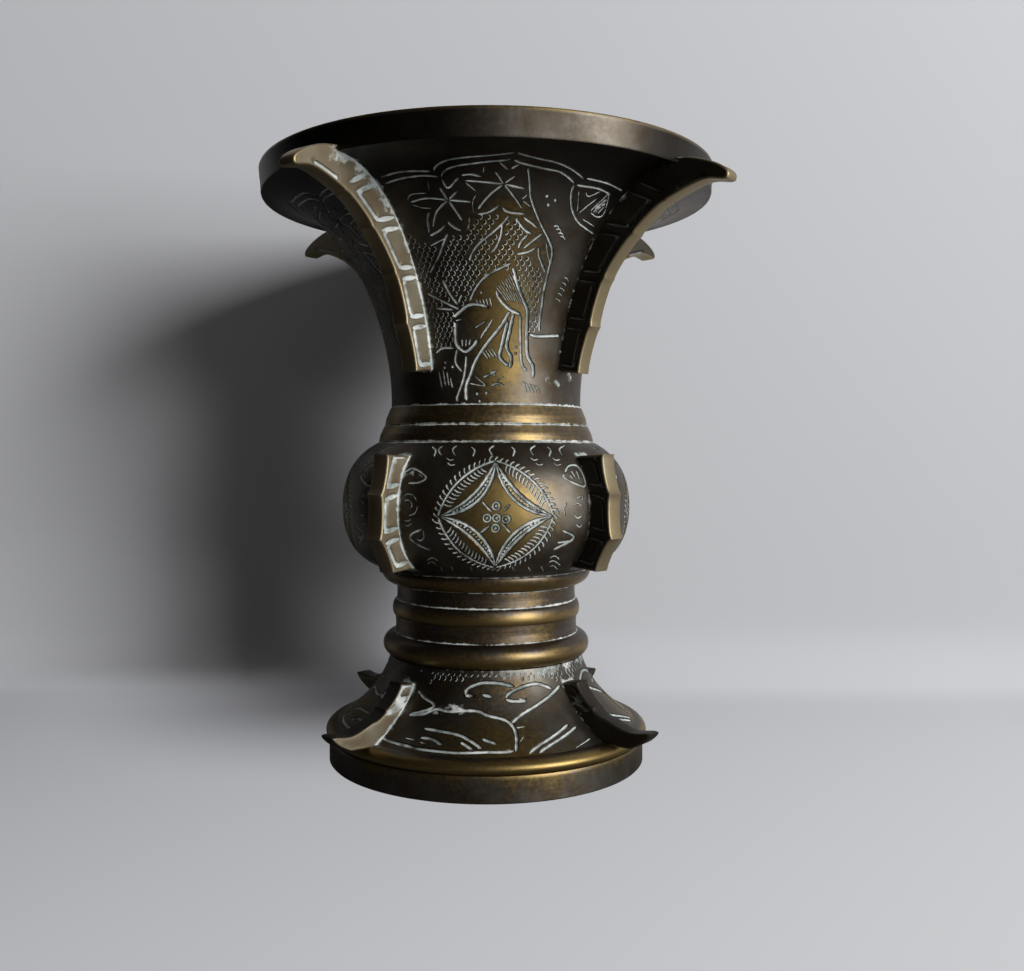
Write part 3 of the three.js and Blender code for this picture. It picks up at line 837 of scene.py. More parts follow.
punch = bpy.data.node_groups.new("strike_along_a_path", "GeometryNodeTree")
punch_sockets = inlets(punch, {"Path": "Geometry", "Count": "Int", "Radius": "Float", "Start": "Float",
                               "Sweep": "Float", "Lean": "Float", "Finish": "Material"})
punch.interface.new_socket("Marks", in_out="OUTPUT", socket_type="NodeSocketGeometry")
punch_in = add_node(punch, "NodeGroupInput").outputs
path_curve = add_node(punch, "GeometryNodeMeshToCurve", Mesh=punch_in["Path"])
struck = add_node(punch, "GeometryNodeCurveToPoints", {"mode": "COUNT"}, Curve=path_curve,
                  Count=punch_in["Count"])
arc = add_node(punch, "GeometryNodeCurveArc", {"mode": "RADIUS"}, Resolution=MARK_POINTS,
               Radius=punch_in["Radius"], Start_Angle=punch_in["Start"], Sweep_Angle=punch_in["Sweep"])
arc_edges = add_node(punch, "GeometryNodeCurveToMesh", Curve=arc)
along_path = add_node(punch, "FunctionNodeAlignRotationToVector", {"axis": "X"},
                      Vector=struck.outputs["Tangent"])
leaning = add_node(punch, "FunctionNodeAxisAngleToRotation", Axis=(0, 0, 1), Angle=punch_in["Lean"])
set_by = add_node(punch, "FunctionNodeRotateRotation", {"rotation_space": "LOCAL"}, i0=along_path, i1=leaning)
marks_set = add_node(punch, "GeometryNodeInstanceOnPoints", Points=struck, Instance=arc_edges,
                     Rotation=set_by)
marks_made = add_node(punch, "GeometryNodeRealizeInstances", Geometry=marks_set)
marks_finish = add_node(punch, "GeometryNodeSetMaterial", Geometry=marks_made, Material=punch_in["Finish"])
add_node(punch, "NodeGroupOutput", Marks=marks_finish)


def punched(paths, count, radius, start, sweep, lean, width):
    """Strokes of a curved punch, struck count times along each path; angles in degrees from the path."""
    corners, edges = [], []
    for path in paths:
        edges += [(len(corners) + i, len(corners) + i + 1) for i in range(len(path) - 1)]
        corners += [(x, y, 0) for x, y in path]
    mesh = bpy.data.meshes.new("punch_path")
    mesh.from_pydata(corners, edges, [])
    start, sweep, lean = (math.radians(angle) for angle in (start, sweep, lean))
    made = grown(mesh, punch, punch_sockets, {"Count": count, "Radius": radius, "Start": start,
                                              "Sweep": sweep, "Lean": lean, "Finish": cast_bronze})
    marks = np.array([v.co[:2] for v in made.vertices]).reshape(-1, MARK_POINTS, 2)
    return [(width, mark) for mark in marks]


def within(polygon, places):
    """Which places lie inside a polygon."""
    inside = np.zeros(len(places), bool)
    for (ax, ay), (bx, by) in zip(polygon, np.roll(polygon, -1, axis=0)):
        crosses = (ay > places[:, 1]) != (by > places[:, 1])
        inside ^= crosses & (places[:, 0] < (bx - ax) * (places[:, 1] - ay) / (by - ay + TINY ** 2) + ax)
    return inside


def clear_of(marks, lines, gap):
    """The marks whose middles are at least gap mm from every drawn line."""
    drawn_points = np.vstack([smooth_line(points) for _, points in lines])
    middles = np.array([mark.mean(axis=0) for _, mark in marks])
    distance = np.array([np.hypot(*(drawn_points - middle).T).min() for middle in middles])
    return [mark for mark, away in zip(marks, distance) if away > gap]


print("punch tree has", len(punch.nodes), "nodes")

# %% [markdown]
# The drawing on the neck
#
# On the front of the neck a deer looks back over its shoulder under maple leaves, inside a lobed frame,
# a subject that such vases share. Each list below is one thing in the drawing, and each entry one stroke
# of the graver with its width in mm and the few pixels it passes through.

# %% Frame of the neck's front, in pixels
HAIR = 0.34
FINE = 0.46
PLAIN = 0.76
BOLD = 1.08

frame_lines = [
    (PLAIN, [(380, 178), (392, 174), (404, 172), (420, 171.7), (433, 172)]),
    (PLAIN, [(433.7, 171.7), (435.4, 167.4), (442.3, 162.7), (452.7, 159.6), (466.4, 157.6), (487, 156),
             (504, 154.5), (516.4, 152.4)]),
    (PLAIN, [(516.4, 152.4), (525, 155.3), (538.8, 158.8), (556, 162.7), (568, 167.4), (576.6, 172.6),
             (584.4, 179.4)]),
    (PLAIN, [(586, 178.6), (601, 181.7), (611, 185), (623, 191)]),
    (PLAIN, [(384.6, 184.6), (395.8, 180.3), (408, 177.7), (425, 176), (439.7, 177.2)]),
    (PLAIN, [(441.5, 177.7), (443, 173.4), (449, 169), (459.5, 166), (473, 163.6), (490.5, 161.7),
             (506, 160.5), (513, 158.8)]),
    (PLAIN, [(513.8, 159.6), (521.5, 163), (535, 166.5), (549, 169.5), (559.4, 171.7), (568, 177),
             (575, 183.7)]),
    (PLAIN, [(575.8, 185), (585, 186.3), (599, 189), (611, 195)]),
    (PLAIN, [(441.5, 178.6), (448.4, 188), (459.5, 177)]),
]
side_lobe = [
    (PLAIN, [(575, 183.7), (571.8, 193), (571.5, 203.5), (573, 212), (577.5, 221), (584.4, 227),
             (594, 234.5)]),
    (FINE, [(579, 190.6), (578.4, 202), (577.5, 213)]),
    (FINE, [(578.4, 214), (599, 197.5)]),
    (FINE, [(586, 190.6), (588.7, 196.7), (601.6, 191.5)]),
    (FINE, [(590, 212), (602.5, 200), (609, 195), (604, 214), (597, 217), (590, 212)]),
    (FINE, [(593, 213), (606, 199)]),
    (FINE, [(597, 215), (606, 205)]),
    (FINE, [(582, 219), (595.6, 227)]),
]

# %% Maple of the neck's front, in pixels
left_leaf = [
    (PLAIN, [(409.6, 202.7), (426.8, 198.7), (448.4, 200.4)]),
    (PLAIN, [(439, 187), (448.4, 200.4)]),
    (PLAIN, [(458.7, 190.6), (448.4, 200.4)]),
    (PLAIN, [(472.5, 202), (448.4, 200.4)]),
    (PLAIN, [(463, 221), (448.4, 200.4)]),
    (PLAIN, [(433, 227.7), (437, 212), (448.4, 200.4)]),
    (FINE, [(407, 202), (411, 195), (428.5, 193)]),
    (FINE, [(410.5, 204.4), (421.7, 208), (433.7, 209)]),
    (FINE, [(429.4, 191.5), (427.7, 181)]),
    (FINE, [(464.7, 182), (476.8, 191.5)]),
    (FINE, [(476.8, 194), (473, 202), (474, 213)]),
    (PLAIN, [(469, 216.5), (470, 222.5), (468, 230)]),
    (PLAIN, [(447.5, 221), (454.4, 227), (463, 231.6)]),
    (PLAIN, [(430, 211), (427.7, 219), (429.4, 233)]),
    (PLAIN, [(429.4, 236), (439, 231), (446.6, 224.6)]),
]
right_leaf = [
    (PLAIN, [(464.7, 181), (504.3, 184.3)]),
    (PLAIN, [(495, 171), (504.3, 184.3)]),
    (PLAIN, [(516.4, 176), (504.3, 184.3)]),
    (PLAIN, [(526, 189), (504.3, 184.3)]),
    (PLAIN, [(522.4, 208), (504.3, 184.3)]),
    (PLAIN, [(477.6, 210.4), (490.5, 195), (504.3, 184.3)]),
    (PLAIN, [(460.4, 175.7), (472, 174.6), (483.7, 177.7)]),
    (FINE, [(484.5, 165.7), (483.3, 173.4)]),
    (PLAIN, [(499, 162), (508.6, 169.6)]),
    (PLAIN, [(511, 169.6), (520.7, 164)]),
    (FINE, [(521.5, 200), (528.4, 194)]),
    (FINE, [(522.4, 200), (531, 207)]),
    (PLAIN, [(476.8, 214.4), (489, 212), (500, 205.6)]),
    (PLAIN, [(501.7, 207), (509.5, 212), (526, 214)]),
]
low_leaf = [
    (PLAIN, [(523, 216.5), (538, 227.7)]),
    (PLAIN, [(515.5, 217), (524, 229.4), (532, 233.7)]),
    (PLAIN, [(529, 233.7), (521.5, 241.4), (518, 250)]),
    (PLAIN, [(543, 233.7), (523, 249)]),
    (PLAIN, [(516.4, 254), (528.4, 252), (537, 247.5)]),
    (PLAIN, [(538.8, 246.6), (539.6, 257), (545.7, 273)]),
]
trunk = [
    (PLAIN, [(528.4, 167.4), (530, 183), (531, 196.7), (535.3, 210.4), (542, 226), (549, 239.7),
             (552.5, 252), (549, 269), (546.4, 280), (543.5, 293), (541.8, 306.7), (539.5, 324),
             (539.5, 332.5)]),
    (FINE, [(546.5, 241.4), (547.4, 252), (550, 264)]),
    (BOLD, [(529.7, 334), (538, 336), (559.6, 336)]),
]
branches = [
    (FINE, [(429.4, 246.6), (446, 238)]),
    (PLAIN, [(448.4, 233), (444, 243), (439, 257), (430, 274)]),
    (PLAIN, [(510, 214.7), (502.6, 224), (490.5, 234.5), (480, 243), (473, 252), (469, 262)]),
    (PLAIN, [(502.6, 224), (501, 236), (496.6, 246.6), (490.5, 253.5)]),
]

# %% Deer and ground of the neck's front, in pixels
deer = [
    (PLAIN, [(512.5, 262.5), (500, 269), (488.4, 274.5), (480.4, 282), (474.6, 290.6), (470, 301)]),
    (BOLD, [(453.4, 318), (461, 311), (469, 305.5), (478, 304.4), (488.4, 307)]),
    (FINE, [(462.6, 318.7), (455, 321)]),
    (BOLD, [(456, 321.6), (455.7, 333), (457.4, 344.5), (465.4, 351.4), (473.5, 345.7), (478, 338.8)]),
    (PLAIN, [(474.6, 328.5), (487, 320)]),
    (FINE, [(462, 338), (463, 347)]),
    (FINE, [(466.6, 338), (466, 347)]),
    (FINE, [(471, 338), (469, 346)]),
    (PLAIN, [(426.4, 293), (446, 303), (459.7, 309.5)]),
    (PLAIN, [(435.6, 308), (454, 310)]),
    (PLAIN, [(442.5, 279), (450.5, 294), (458.5, 305.5)]),
    (PLAIN, [(463, 293.5), (460, 299), (459, 303)]),
    (BOLD, [(510, 311), (501, 326), (487, 343.4), (475.8, 360.6), (471, 374.4), (466.6, 386), (467, 403)]),
    (PLAIN, [(466.6, 355), (465.4, 370), (462.6, 382.4), (457.4, 397.4), (459, 403)]),
    (PLAIN, [(457.4, 349), (456, 362), (463, 373)]),
    (PLAIN, [(435.6, 353.7), (442.5, 348.6), (455, 348)]),
    (FINE, [(469, 383.6), (485, 385.3), (474.6, 375.5)]),
    (BOLD, [(513, 267), (518, 286), (524, 301), (527.4, 310), (527, 324), (527.4, 353.7), (533, 366.4),
            (533, 379)]),
    (BOLD, [(496, 289.4), (500, 298.6), (509, 309), (520.5, 314.7)]),
    (PLAIN, [(520.5, 314.7), (520.5, 335.4), (521.7, 363), (527.4, 371)]),
    (BOLD, [(508, 320.4), (502, 344.5), (500, 357), (508.5, 366.4)]),
    (BOLD, [(513.6, 313.5), (510, 329.6), (506.8, 346.8), (511.4, 358), (509.6, 368.6)]),
]
flank_hatch = [(HAIR, [(495 + 1.9 * i, 285 - 1.9 * i), (508 + 2.1 * i, 302 + 0.4 * i)]) for i in range(9)]
belly_hatch = [(FINE, [(482 + 3 * i, 350 - i), (489 + 3 * i, 360 - 0.6 * i)]) for i in range(4)]
mane_hatch = [(FINE, [(476 + 3.4 * i, 299 - 0.6 * i), (478.5 + 3.4 * i, 303.5 + i)]) for i in range(5)]
chest_hatch = [(FINE, [(493 - 2.6 * i, 318 + 3.6 * i), (488 - 2.6 * i, 329 + 3.4 * i)]) for i in range(4)]
neck_grass = [
    (PLAIN, [(482.7, 378), (497.6, 370)]),
    (FINE, [(490.7, 371), (496, 376.7)]),
    (PLAIN, [(490.7, 386.4), (497.6, 383), (504.5, 386)]),
    (FINE, [(496.4, 380.7), (504, 376.7)]),
    (FINE, [(439, 370), (442.5, 389)]),
    (FINE, [(443, 368.6), (446, 387)]),
    (FINE, [(447, 371), (449.4, 387)]),
    (FINE, [(450.5, 376.7), (453, 389)]),
    *[(FINE, [(523 + 3 * i, 381 + i), (527 + 3.4 * i, 393)]) for i in range(5)],
    *[(FINE, [(553 + 2 * i, 226 + 3.6 * i), (558 + 2 * i, 226 + 3.6 * i), (560 + 2 * i, 231 + 3.6 * i)])
      for i in range(4)],
    *[(FINE, [(564 - 2.3 * i, 277 + 5.2 * i), (568 - 2.2 * i, 279 + 5.3 * i), (568.5 - 2 * i, 283 + 5 * i)])
      for i in range(5)],
]
neck_dots = [(445.6, 362), (445, 367.5), (453, 366.6), (477.5, 394), (486.7, 393), (480, 401),
             (481.7, 292.5), (547.4, 196), (555.5, 200.5), (548.6, 205), (516, 347), (515.5, 353.7)]
scale_ground = [(404, 232), (428, 246), (447, 236), (470, 232), (478, 216), (505, 212), (516, 222),
                (528, 240), (522, 252), (545, 275), (540, 300), (538, 332), (528, 330), (526, 305),
                (515, 268), (490, 274), (474, 290), (468, 303), (455, 316), (455, 347), (436, 350),
                (427, 300), (415, 262)]

# %% Lay the neck's drawing out flat
NECK_TURNS = [-36.0, 50.0, 134.0, 230.0]
BULB_TURNS = [-36.5, 44.5, 136.0, 226.0]
FOOT_TURNS = [-45.5, 49.5, 142.0, 226.0]
DOT_WIDTH = 0.52
DOT_RADIUS = 0.18
DOT_STEPS = 8
RING_STEPS = 14
SCALE_STEP = 1.45
SCALE_ROW = 1.2
SCALE_RADIUS = 0.56
SCALE_WIDTH = 0.36
SCALE_START = -108
SCALE_SWEEP = 190
NECK_SCALE_GAP = 0.62


def panel_centre(turns, index):
    """The middle turn, in radians, of the panel that follows one flange."""
    after = turns[index + 1] if index + 1 < len(turns) else turns[0] + 360
    return math.radians((turns[index] + after) / 2)


def mean_radius(wall):
    """The radius at which a panel of this wall is laid out flat without stretch."""
    return float(wall.at(wall.length / 2)[0])


def stretch_of(wall):
    """How much wider than its flat panel the wall is, by distance up it."""
    return lambda distance: wall.at(distance)[0] / mean_radius(wall)


def laid_flat(wall, turns, pixels):
    """Places in mm on the flat front panel under pixels of the photograph."""
    found = on_wall(wall, pixels)
    return np.column_stack([(found[:, 0] - panel_centre(turns, 0)) * mean_radius(wall), found[:, 1]])


def drawn(wall, turns, strokes):
    """Drawn strokes, laid flat."""
    return [(width, laid_flat(wall, turns, points)) for width, points in strokes]


def ring(centre, radius, steps):
    """A closed circle of places."""
    turns = np.linspace(0, 2 * math.pi, steps, endpoint=False)
    return np.array(centre) + radius * np.column_stack([np.cos(turns), np.sin(turns)])


def dots(places):
    """Round dots of a pointed punch at flat places, as closed strokes."""
    return [(DOT_WIDTH, ring(place, DOT_RADIUS, DOT_STEPS)) for place in places]


def scales_in(polygon, stretch_at):
    """Rows of fish scales that fill a flat polygon, each second row set half a step aside."""
    low, high = polygon.min(axis=0), polygon.max(axis=0)
    step = SCALE_STEP / stretch_at(polygon[:, 1].mean())
    count = max(2, int((high[0] - low[0]) / step))
    rows = []
    for i, y in enumerate(np.arange(low[1], high[1], SCALE_ROW)):
        start = low[0] + step / 2 * (i % 2)
        rows.append([(start, y), (start + count * step, y)])
    marks = punched(rows, count + 1, SCALE_RADIUS, SCALE_START, SCALE_SWEEP, 0, SCALE_WIDTH)
    middles = np.array([mark.mean(axis=0) for _, mark in marks])
    return [mark for mark, keep in zip(marks, within(polygon, middles)) if keep]


neck_maple = drawn(neck_wall, NECK_TURNS, left_leaf + right_leaf + low_leaf + trunk + branches)
neck_frame = drawn(neck_wall, NECK_TURNS, frame_lines + side_lobe)
neck_deer = drawn(neck_wall, NECK_TURNS, deer + flank_hatch + belly_hatch + mane_hatch + chest_hatch)
neck_ground = drawn(neck_wall, NECK_TURNS, neck_grass)
neck_punched = dots(laid_flat(neck_wall, NECK_TURNS, neck_dots))
neck_front = neck_maple + neck_frame + neck_deer + neck_ground
neck_scales = scales_in(laid_flat(neck_wall, NECK_TURNS, scale_ground), stretch_of(neck_wall))
neck_scales = clear_of(neck_scales, neck_front, NECK_SCALE_GAP)
print("neck front:", len(neck_front), "strokes and", len(neck_scales), "scales")

# %% [markdown]
# The drawing on the bulb
#
# Between each pair of flanges sits a medallion of the seven-treasures pattern: four pointed petals round
# a star whose sides bow in, with a row of beads along each side, and five small rings in the middle. It
# follows a rule, so it is worked out from its radius and not traced: the fringe and the hatching are
# punched rows, and only the loose ornament beside it is drawn from pixels.

# %% Medallion
MEDALLION_PIXEL = (497, 517)
RING_PIXELS = [(497, 518), (496.7, 506), (487.4, 518), (506.5, 519), (496, 528)]
MEDALLION_RADIUS = 13.5
BOW_STEPS = 12

# Widths in mm of the star's sides, the band along them, and the beads in that band
STAR_WIDTH = 1.0
BAND_WIDTH = 1.75
BEAD_WIDTH = 0.62
BEAD_STEPS = 22
BEAD_ENDS = 4
BEAD_SLANT = np.array([0.2, 0.1])

# Bows of the star's sides, the petals and the hatching in them, as shares of the chord
BOW = 0.205
PETAL_BOW = 0.128
FEATHER_BOW = 0.09

# Small rings, and the punches of the hatching and the fringe: radius, start, sweep, lean and width
RING_RADIUS = 0.85
RING_WIDTH = 0.64
FEATHER_COUNT = 17
FEATHER_PUNCH = (2.2, -32, 64, 25, 0.56)
FEATHER_GAP = 0.9
FRINGE_COUNT = 16
FRINGE_PUNCH = (1.5, -35, 70, -25, 0.6)
FRINGE_GAP = 0.5

medallion = laid_flat(bulb_wall, BULB_TURNS, [MEDALLION_PIXEL])[0]


def bowed(start, end, sagitta, steps=BOW_STEPS):
    """A shallow arc from one place to another, bowed to the left of the way."""
    start, end = np.array(start, float), np.array(end, float)
    share = np.linspace(0, 1, steps + 1)[:, None]
    aside = np.array([-(end - start)[1], (end - start)[0]]) / np.hypot(*(end - start))
    return start + (end - start) * share + aside * 4 * sagitta * share * (1 - share)


points = [medallion + MEDALLION_RADIUS * np.array(way) for way in ((0, 1), (-1, 0), (0, -1), (1, 0))]
bulb_rule, petal_marks, fringe = [], [], []
for start, end in zip(points, points[1:] + points[:1]):
    chord = float(np.hypot(*(end - start)))
    outer = bowed(start, end, -chord * PETAL_BOW)
    inner = bowed(start, end, chord * BOW - BAND_WIDTH)
    bulb_rule += [(STAR_WIDTH, bowed(start, end, chord * BOW)), (STAR_WIDTH, inner), (PLAIN, outer)]
    beads = bowed(start, end, chord * BOW - BAND_WIDTH / 2, BEAD_STEPS)[BEAD_ENDS:-BEAD_ENDS]
    bulb_rule += [(BEAD_WIDTH, np.array([p - BEAD_SLANT, p, p + BEAD_SLANT])) for p in beads]
    feathers = punched([bowed(start, end, -chord * FEATHER_BOW)[:-2]], FEATHER_COUNT, *FEATHER_PUNCH)
    petal = np.vstack([outer, inner[::-1]])
    petal_marks += clear_of([m for m in feathers if within(petal, m[1]).all()], bulb_rule, FEATHER_GAP)
    fringe += punched([bowed(start, end, -chord * PETAL_BOW - FRINGE_GAP)], FRINGE_COUNT, *FRINGE_PUNCH)
rings_at = laid_flat(bulb_wall, BULB_TURNS, RING_PIXELS)
bulb_rings = [(RING_WIDTH, ring(centre, RING_RADIUS, RING_STEPS)) for centre in rings_at] + dots(rings_at)
print("medallion at", medallion.round(1), "has", len(petal_marks), "hatches,", len(fringe), "fringe marks")

# %% Loose ornament of the bulb's front, in pixels
bulb_loose = [
    (PLAIN, [(482, 501), (492.4, 512.6)]),
    (PLAIN, [(510.7, 504), (503.5, 511)]),
    (PLAIN, [(480, 533.5), (491, 525)]),
    (PLAIN, [(501.6, 522.4), (511.4, 533.5)]),
    (PLAIN, [(404, 472.7), (412, 468), (421, 472), (426.4, 478), (418.5, 482.5), (407, 483)]),
    (FINE, [(402, 497), (408, 494), (414, 496), (417, 502)]),
    (FINE, [(403, 502), (408, 500), (412, 504), (411, 509)]),
    (FINE, [(418, 505), (415, 513), (408, 516)]),
    (FINE, [(402, 520), (408, 521), (412, 518)]),
    (FINE, [(402, 524), (408, 526), (413, 522)]),
    (PLAIN, [(423, 529), (412, 534), (410.7, 539.4), (420, 546), (431.6, 551)]),
    (FINE, [(423, 529), (424, 537), (420, 541), (416, 538)]),
    (PLAIN, [(565, 472.7), (569, 466), (576.7, 465.5), (583, 474), (584.6, 486.4), (565, 478),
             (565, 472.7)]),
    (FINE, [(571, 470), (576, 478)]),
    (FINE, [(576, 470), (580, 480)]),
    (FINE, [(569, 474), (574, 480)]),
    (FINE, [(567, 502), (564, 509), (566, 516)]),
    (FINE, [(576, 499), (582, 496), (583, 502)]),
    (FINE, [(574, 506), (578, 503), (583, 507)]),
    (FINE, [(574, 514), (578, 518), (583, 515)]),
    (FINE, [(576, 524), (580, 527), (583, 524)]),
    (PLAIN, [(562, 530), (574, 538), (553, 550)]),
    (PLAIN, [(571.5, 540.7), (557, 543)]),
    (FINE, [(549, 559), (555, 556), (560, 560)]),
    (FINE, [(548, 563), (554, 561), (561, 566)]),
    (FINE, [(549, 567), (554, 566), (558, 570)]),
    (FINE, [(426, 561), (433, 558), (439, 562)]),
    (FINE, [(427, 565), (432, 562), (437, 566)]),
    *[(PLAIN, [(x - 2, 446), (x + 2, 450), (x, 457)]) for x in (434, 473, 513, 549)],
    *[(PLAIN, [(x + 3, 445), (x - 2, 449), (x + 1, 456)]) for x in (441, 455, 492, 533, 562)],
    *[(FINE, [(x, 457), (x + 4, 460), (x + 9, 459)]) for x in (446, 530, 552)],
    *[(FINE, [(x, 462), (x + 4, 465), (x + 9, 464)]) for x in (447, 535, 553)],
    *[(FINE, [(x, 566), (x + 3, 572)]) for x in (440, 451, 470, 512, 528, 541)],
]
bulb_front = bulb_rule + petal_marks + fringe + drawn(bulb_wall, BULB_TURNS, bulb_loose)
print("bulb front:", len(bulb_front), "strokes and", len(bulb_rings), "rings and dots")

# %% [markdown]
# The drawing on the foot
#
# The foot has clouds, a rounded rock and slanting rain under a narrow band of scales. It is drawn in the
# same way.

# %% Strokes of the foot's front, in pixels
FOOT_SCALE_GAP = 0.55

foot_strokes = [
    (BOLD, [(465, 695.4), (469, 688), (480, 683.5), (488, 682.7), (500.7, 683.5), (515, 686.7)]),
    (BOLD, [(465, 695.4), (473.6, 696)]),
    (BOLD, [(481.6, 694.6), (493, 697)]),
    (BOLD, [(505.5, 698.6), (510, 693), (523, 686.7), (536, 683.8), (545.4, 686), (552.6, 689)]),
    (BOLD, [(505.5, 698.6), (512, 701), (527, 701)]),
    (FINE, [(518, 698), (527, 701)]),
    (BOLD, [(560.5, 685), (550, 696), (536, 706), (523, 714), (512, 723)]),
    (BOLD, [(408, 714.6), (424, 713.8), (436, 709), (449.7, 711.4), (465.7, 710.6), (478.4, 711.4),
            (488, 715.4), (497.6, 717.8), (505.5, 720), (512, 725), (516, 733), (516.7, 742.5), (516, 752)]),
    (BOLD, [(515, 750.5), (504, 752), (485, 752), (465.7, 752.6), (453, 752.4), (437, 751), (418, 748.5),
            (406.7, 745.5), (392, 741.5), (383, 738)]),
    (FINE, [(516, 728), (526, 726.5)]),
    (FINE, [(520, 742.5), (524, 736)]),
    (BOLD, [(423.4, 728), (438.6, 730.5), (459, 735), (472, 741.7), (482.4, 749)]),
    (BOLD, [(419.4, 737), (432, 739), (442.5, 745)]),
    (FINE, [(404, 737.7), (416, 740)]),
    (FINE, [(419.4, 741.7), (427, 744)]),
    (BOLD, [(460, 741.7), (465.7, 745), (473.6, 750.4)]),
    (BOLD, [(481.6, 738.5), (497.6, 744)]),
    (BOLD, [(527, 755), (542, 744), (568.5, 723.7)]),
    (BOLD, [(536, 755), (552, 744), (577, 726)]),
    (FINE, [(570, 752), (591, 737.7)]),
    (BOLD, [(418, 690), (422.6, 696), (434, 706), (408, 714.6)]),
]
scale_band = [(430, 669), (450, 667), (480, 666.5), (520, 666.5), (556, 668), (572, 670), (572, 680),
              (550, 679), (520, 678.5), (480, 678.5), (450, 680), (430, 682)]
foot_front = drawn(foot_wall, FOOT_TURNS, foot_strokes)
foot_scales = scales_in(laid_flat(foot_wall, FOOT_TURNS, scale_band), stretch_of(foot_wall))
foot_scales = clear_of(foot_scales, foot_front, FOOT_SCALE_GAP)
print("foot front:", len(foot_front), "strokes and", len(foot_scales), "scales")

# %% [markdown]
# Cast and engraved sections
#
# Neck, bulb and foot are each made of four engraved panels, split where the flanges hide the join, and a
# plain turned remainder: lip, lining and spigots. All share the same columns round the axis, so their
# edges meet point for point and weld into one closed shell. The drawing of the front returns on the
# other panels. On the sides of the neck and the foot it is turned left to right, and on the sides of the
# neck a second spray of leaves takes the deer's place.

# %% Engraved panels wrapped round the axis
COLUMN = math.radians(360 / TURN_STEPS)
ROW_STEP = 1.1
SIDE_MARGIN = 0.7
END_MARGIN = 0.4

# How well dots, scales and beads hold polish, and how far the star's sides taper, by their widths
HOLDS = {DOT_WIDTH: 3.0, SCALE_WIDTH: 1.5, BEAD_WIDTH: 3.0}
TIPS = {STAR_WIDTH: 4.5}


def to_column(turn):
    """The nearest shared column, in radians, to a turn in degrees."""
    return round(math.radians(turn) / COLUMN) * COLUMN


def fitted(lines, rings, half_width, length):
    """Strokes from lines and rings, cut off where they leave the panel."""
    strokes = [Stroke(loop, width, closed=True, hold=HOLDS.get(width)) for width, loop in rings]
    for width, points in lines:
        line = smooth_line(points)
        inside = np.abs(line[:, 0]) < half_width - SIDE_MARGIN
        inside &= np.abs(line[:, 1] - length / 2) < length / 2 - END_MARGIN
        breaks = np.flatnonzero(np.diff(inside.astype(int))) + 1
        for run in np.split(np.arange(len(line)), breaks):
            if inside[run[0]] and len(run) > 1:
                strokes.append(Stroke(line[run], width, tip=TIPS.get(width), hold=HOLDS.get(width)))
    return strokes


def bordered(columns, rows):
    """The border of a flat panel, with a point at each column and row."""
    bottom, top = ([(x, y) for x in columns] for y in (rows[0], rows[-1]))
    left, right = ([(x, y) for y in rows] for x in (columns[0], columns[-1]))
    return np.array([*bottom[:-1], *right[:-1], *top[:0:-1], *left[:0:-1]])


def crossings(columns, rows):
    """The places where columns and rows cross."""
    x, y = np.meshgrid(columns, rows)
    return np.column_stack([x.ravel(), y.ravel()])


def engraved_wall(wall, turns, drawings):
    """Four engraved panels as places, triangles, cut shares and (angle, distance) of each place."""
    rows = np.linspace(0, wall.length, round(wall.length / ROW_STEP) + 1)
    mean, stretch = mean_radius(wall), stretch_of(wall)
    ends = [to_column(turn) for turn in turns]
    ends.append(ends[0] + 2 * math.pi)
    places, faces, cuts, maps, count = [], [], [], [], 0
    for index, (lines, rings) in enumerate(drawings):
        start, end = ends[index:index + 2]
        centre = panel_centre(turns, index)
        columns = (start + COLUMN * np.arange(round((end - start) / COLUMN) + 1) - centre) * mean
        strokes = fitted(lines, rings, min(-columns[0], columns[-1]), wall.length)
        flat, deep, share, triangles = engraved_panel(
            bordered(columns, rows), crossings(columns[1:-1], rows[1:-1]), strokes, stretch)
        angle = centre + flat[:, 0] / mean
        radius, height = wall.off(flat[:, 1], -deep).T
        places.append(np.column_stack([radius * np.sin(angle), -radius * np.cos(angle), height]))
        faces += [tuple(count + t) for t in triangles]
        cuts.append(share)
        maps.append(np.column_stack([angle, flat[:, 1]]))
        count += len(flat)
    return np.vstack(places), faces, np.concatenate(cuts), np.vstack(maps)


print("panels have a column every", round(math.degrees(COLUMN), 2), "degrees, a row every", ROW_STEP, "mm")

# %% Turned remainder and weld
WELD_GRID = 2e-4


def polar(places):
    """The radius of each place and its angle from the front, in radians."""
    return np.hypot(places[:, 0], places[:, 1]), np.arctan2(places[:, 0], -places[:, 1])


def loop_quads(loops, size):
    """Faces that join each closed loop of points to the next."""
    pairs = [(i * size + j, i * size + (j + 1) % size) for i in range(loops - 1) for j in range(size)]
    return [(a, b, b + size, a + size) for a, b in pairs]


def turned_rest(outline):
    """The plain remainder of a shell, turned from an open outline, as places and quads."""
    outline = np.array(outline)
    turns = COLUMN * np.arange(TURN_STEPS)
    radius, height = outline[:, :1], np.broadcast_to(outline[:, 1:], (len(outline), TURN_STEPS))
    places = np.stack([radius * np.sin(turns), -radius * np.cos(turns), height], axis=2).reshape(-1, 3)
    return places, loop_quads(len(outline), TURN_STEPS)


def welded(name, places, faces):
    """A mesh in metres with places that coincide made one, and the first place at each of its points."""
    keys = np.round(places / WELD_GRID).astype(np.int64)
    _, first, index = np.unique(keys, axis=0, return_index=True, return_inverse=True)
    index = index.ravel()
    joined = [tuple(dict.fromkeys(int(index[i]) for i in face)) for face in faces]
    mesh = bpy.data.meshes.new(name)
    mesh.from_pydata((places[first] * MM).tolist(), [], [face for face in joined if len(face) > 2])
    return mesh, first


def lining(wall, count):
    """The inner face of a wall, from its top down, as spaced places."""
    return wall.off(np.linspace(wall.length, 0, count), -WALL_THICKNESS)


print("points nearer than about", WELD_GRID, "mm are welded")
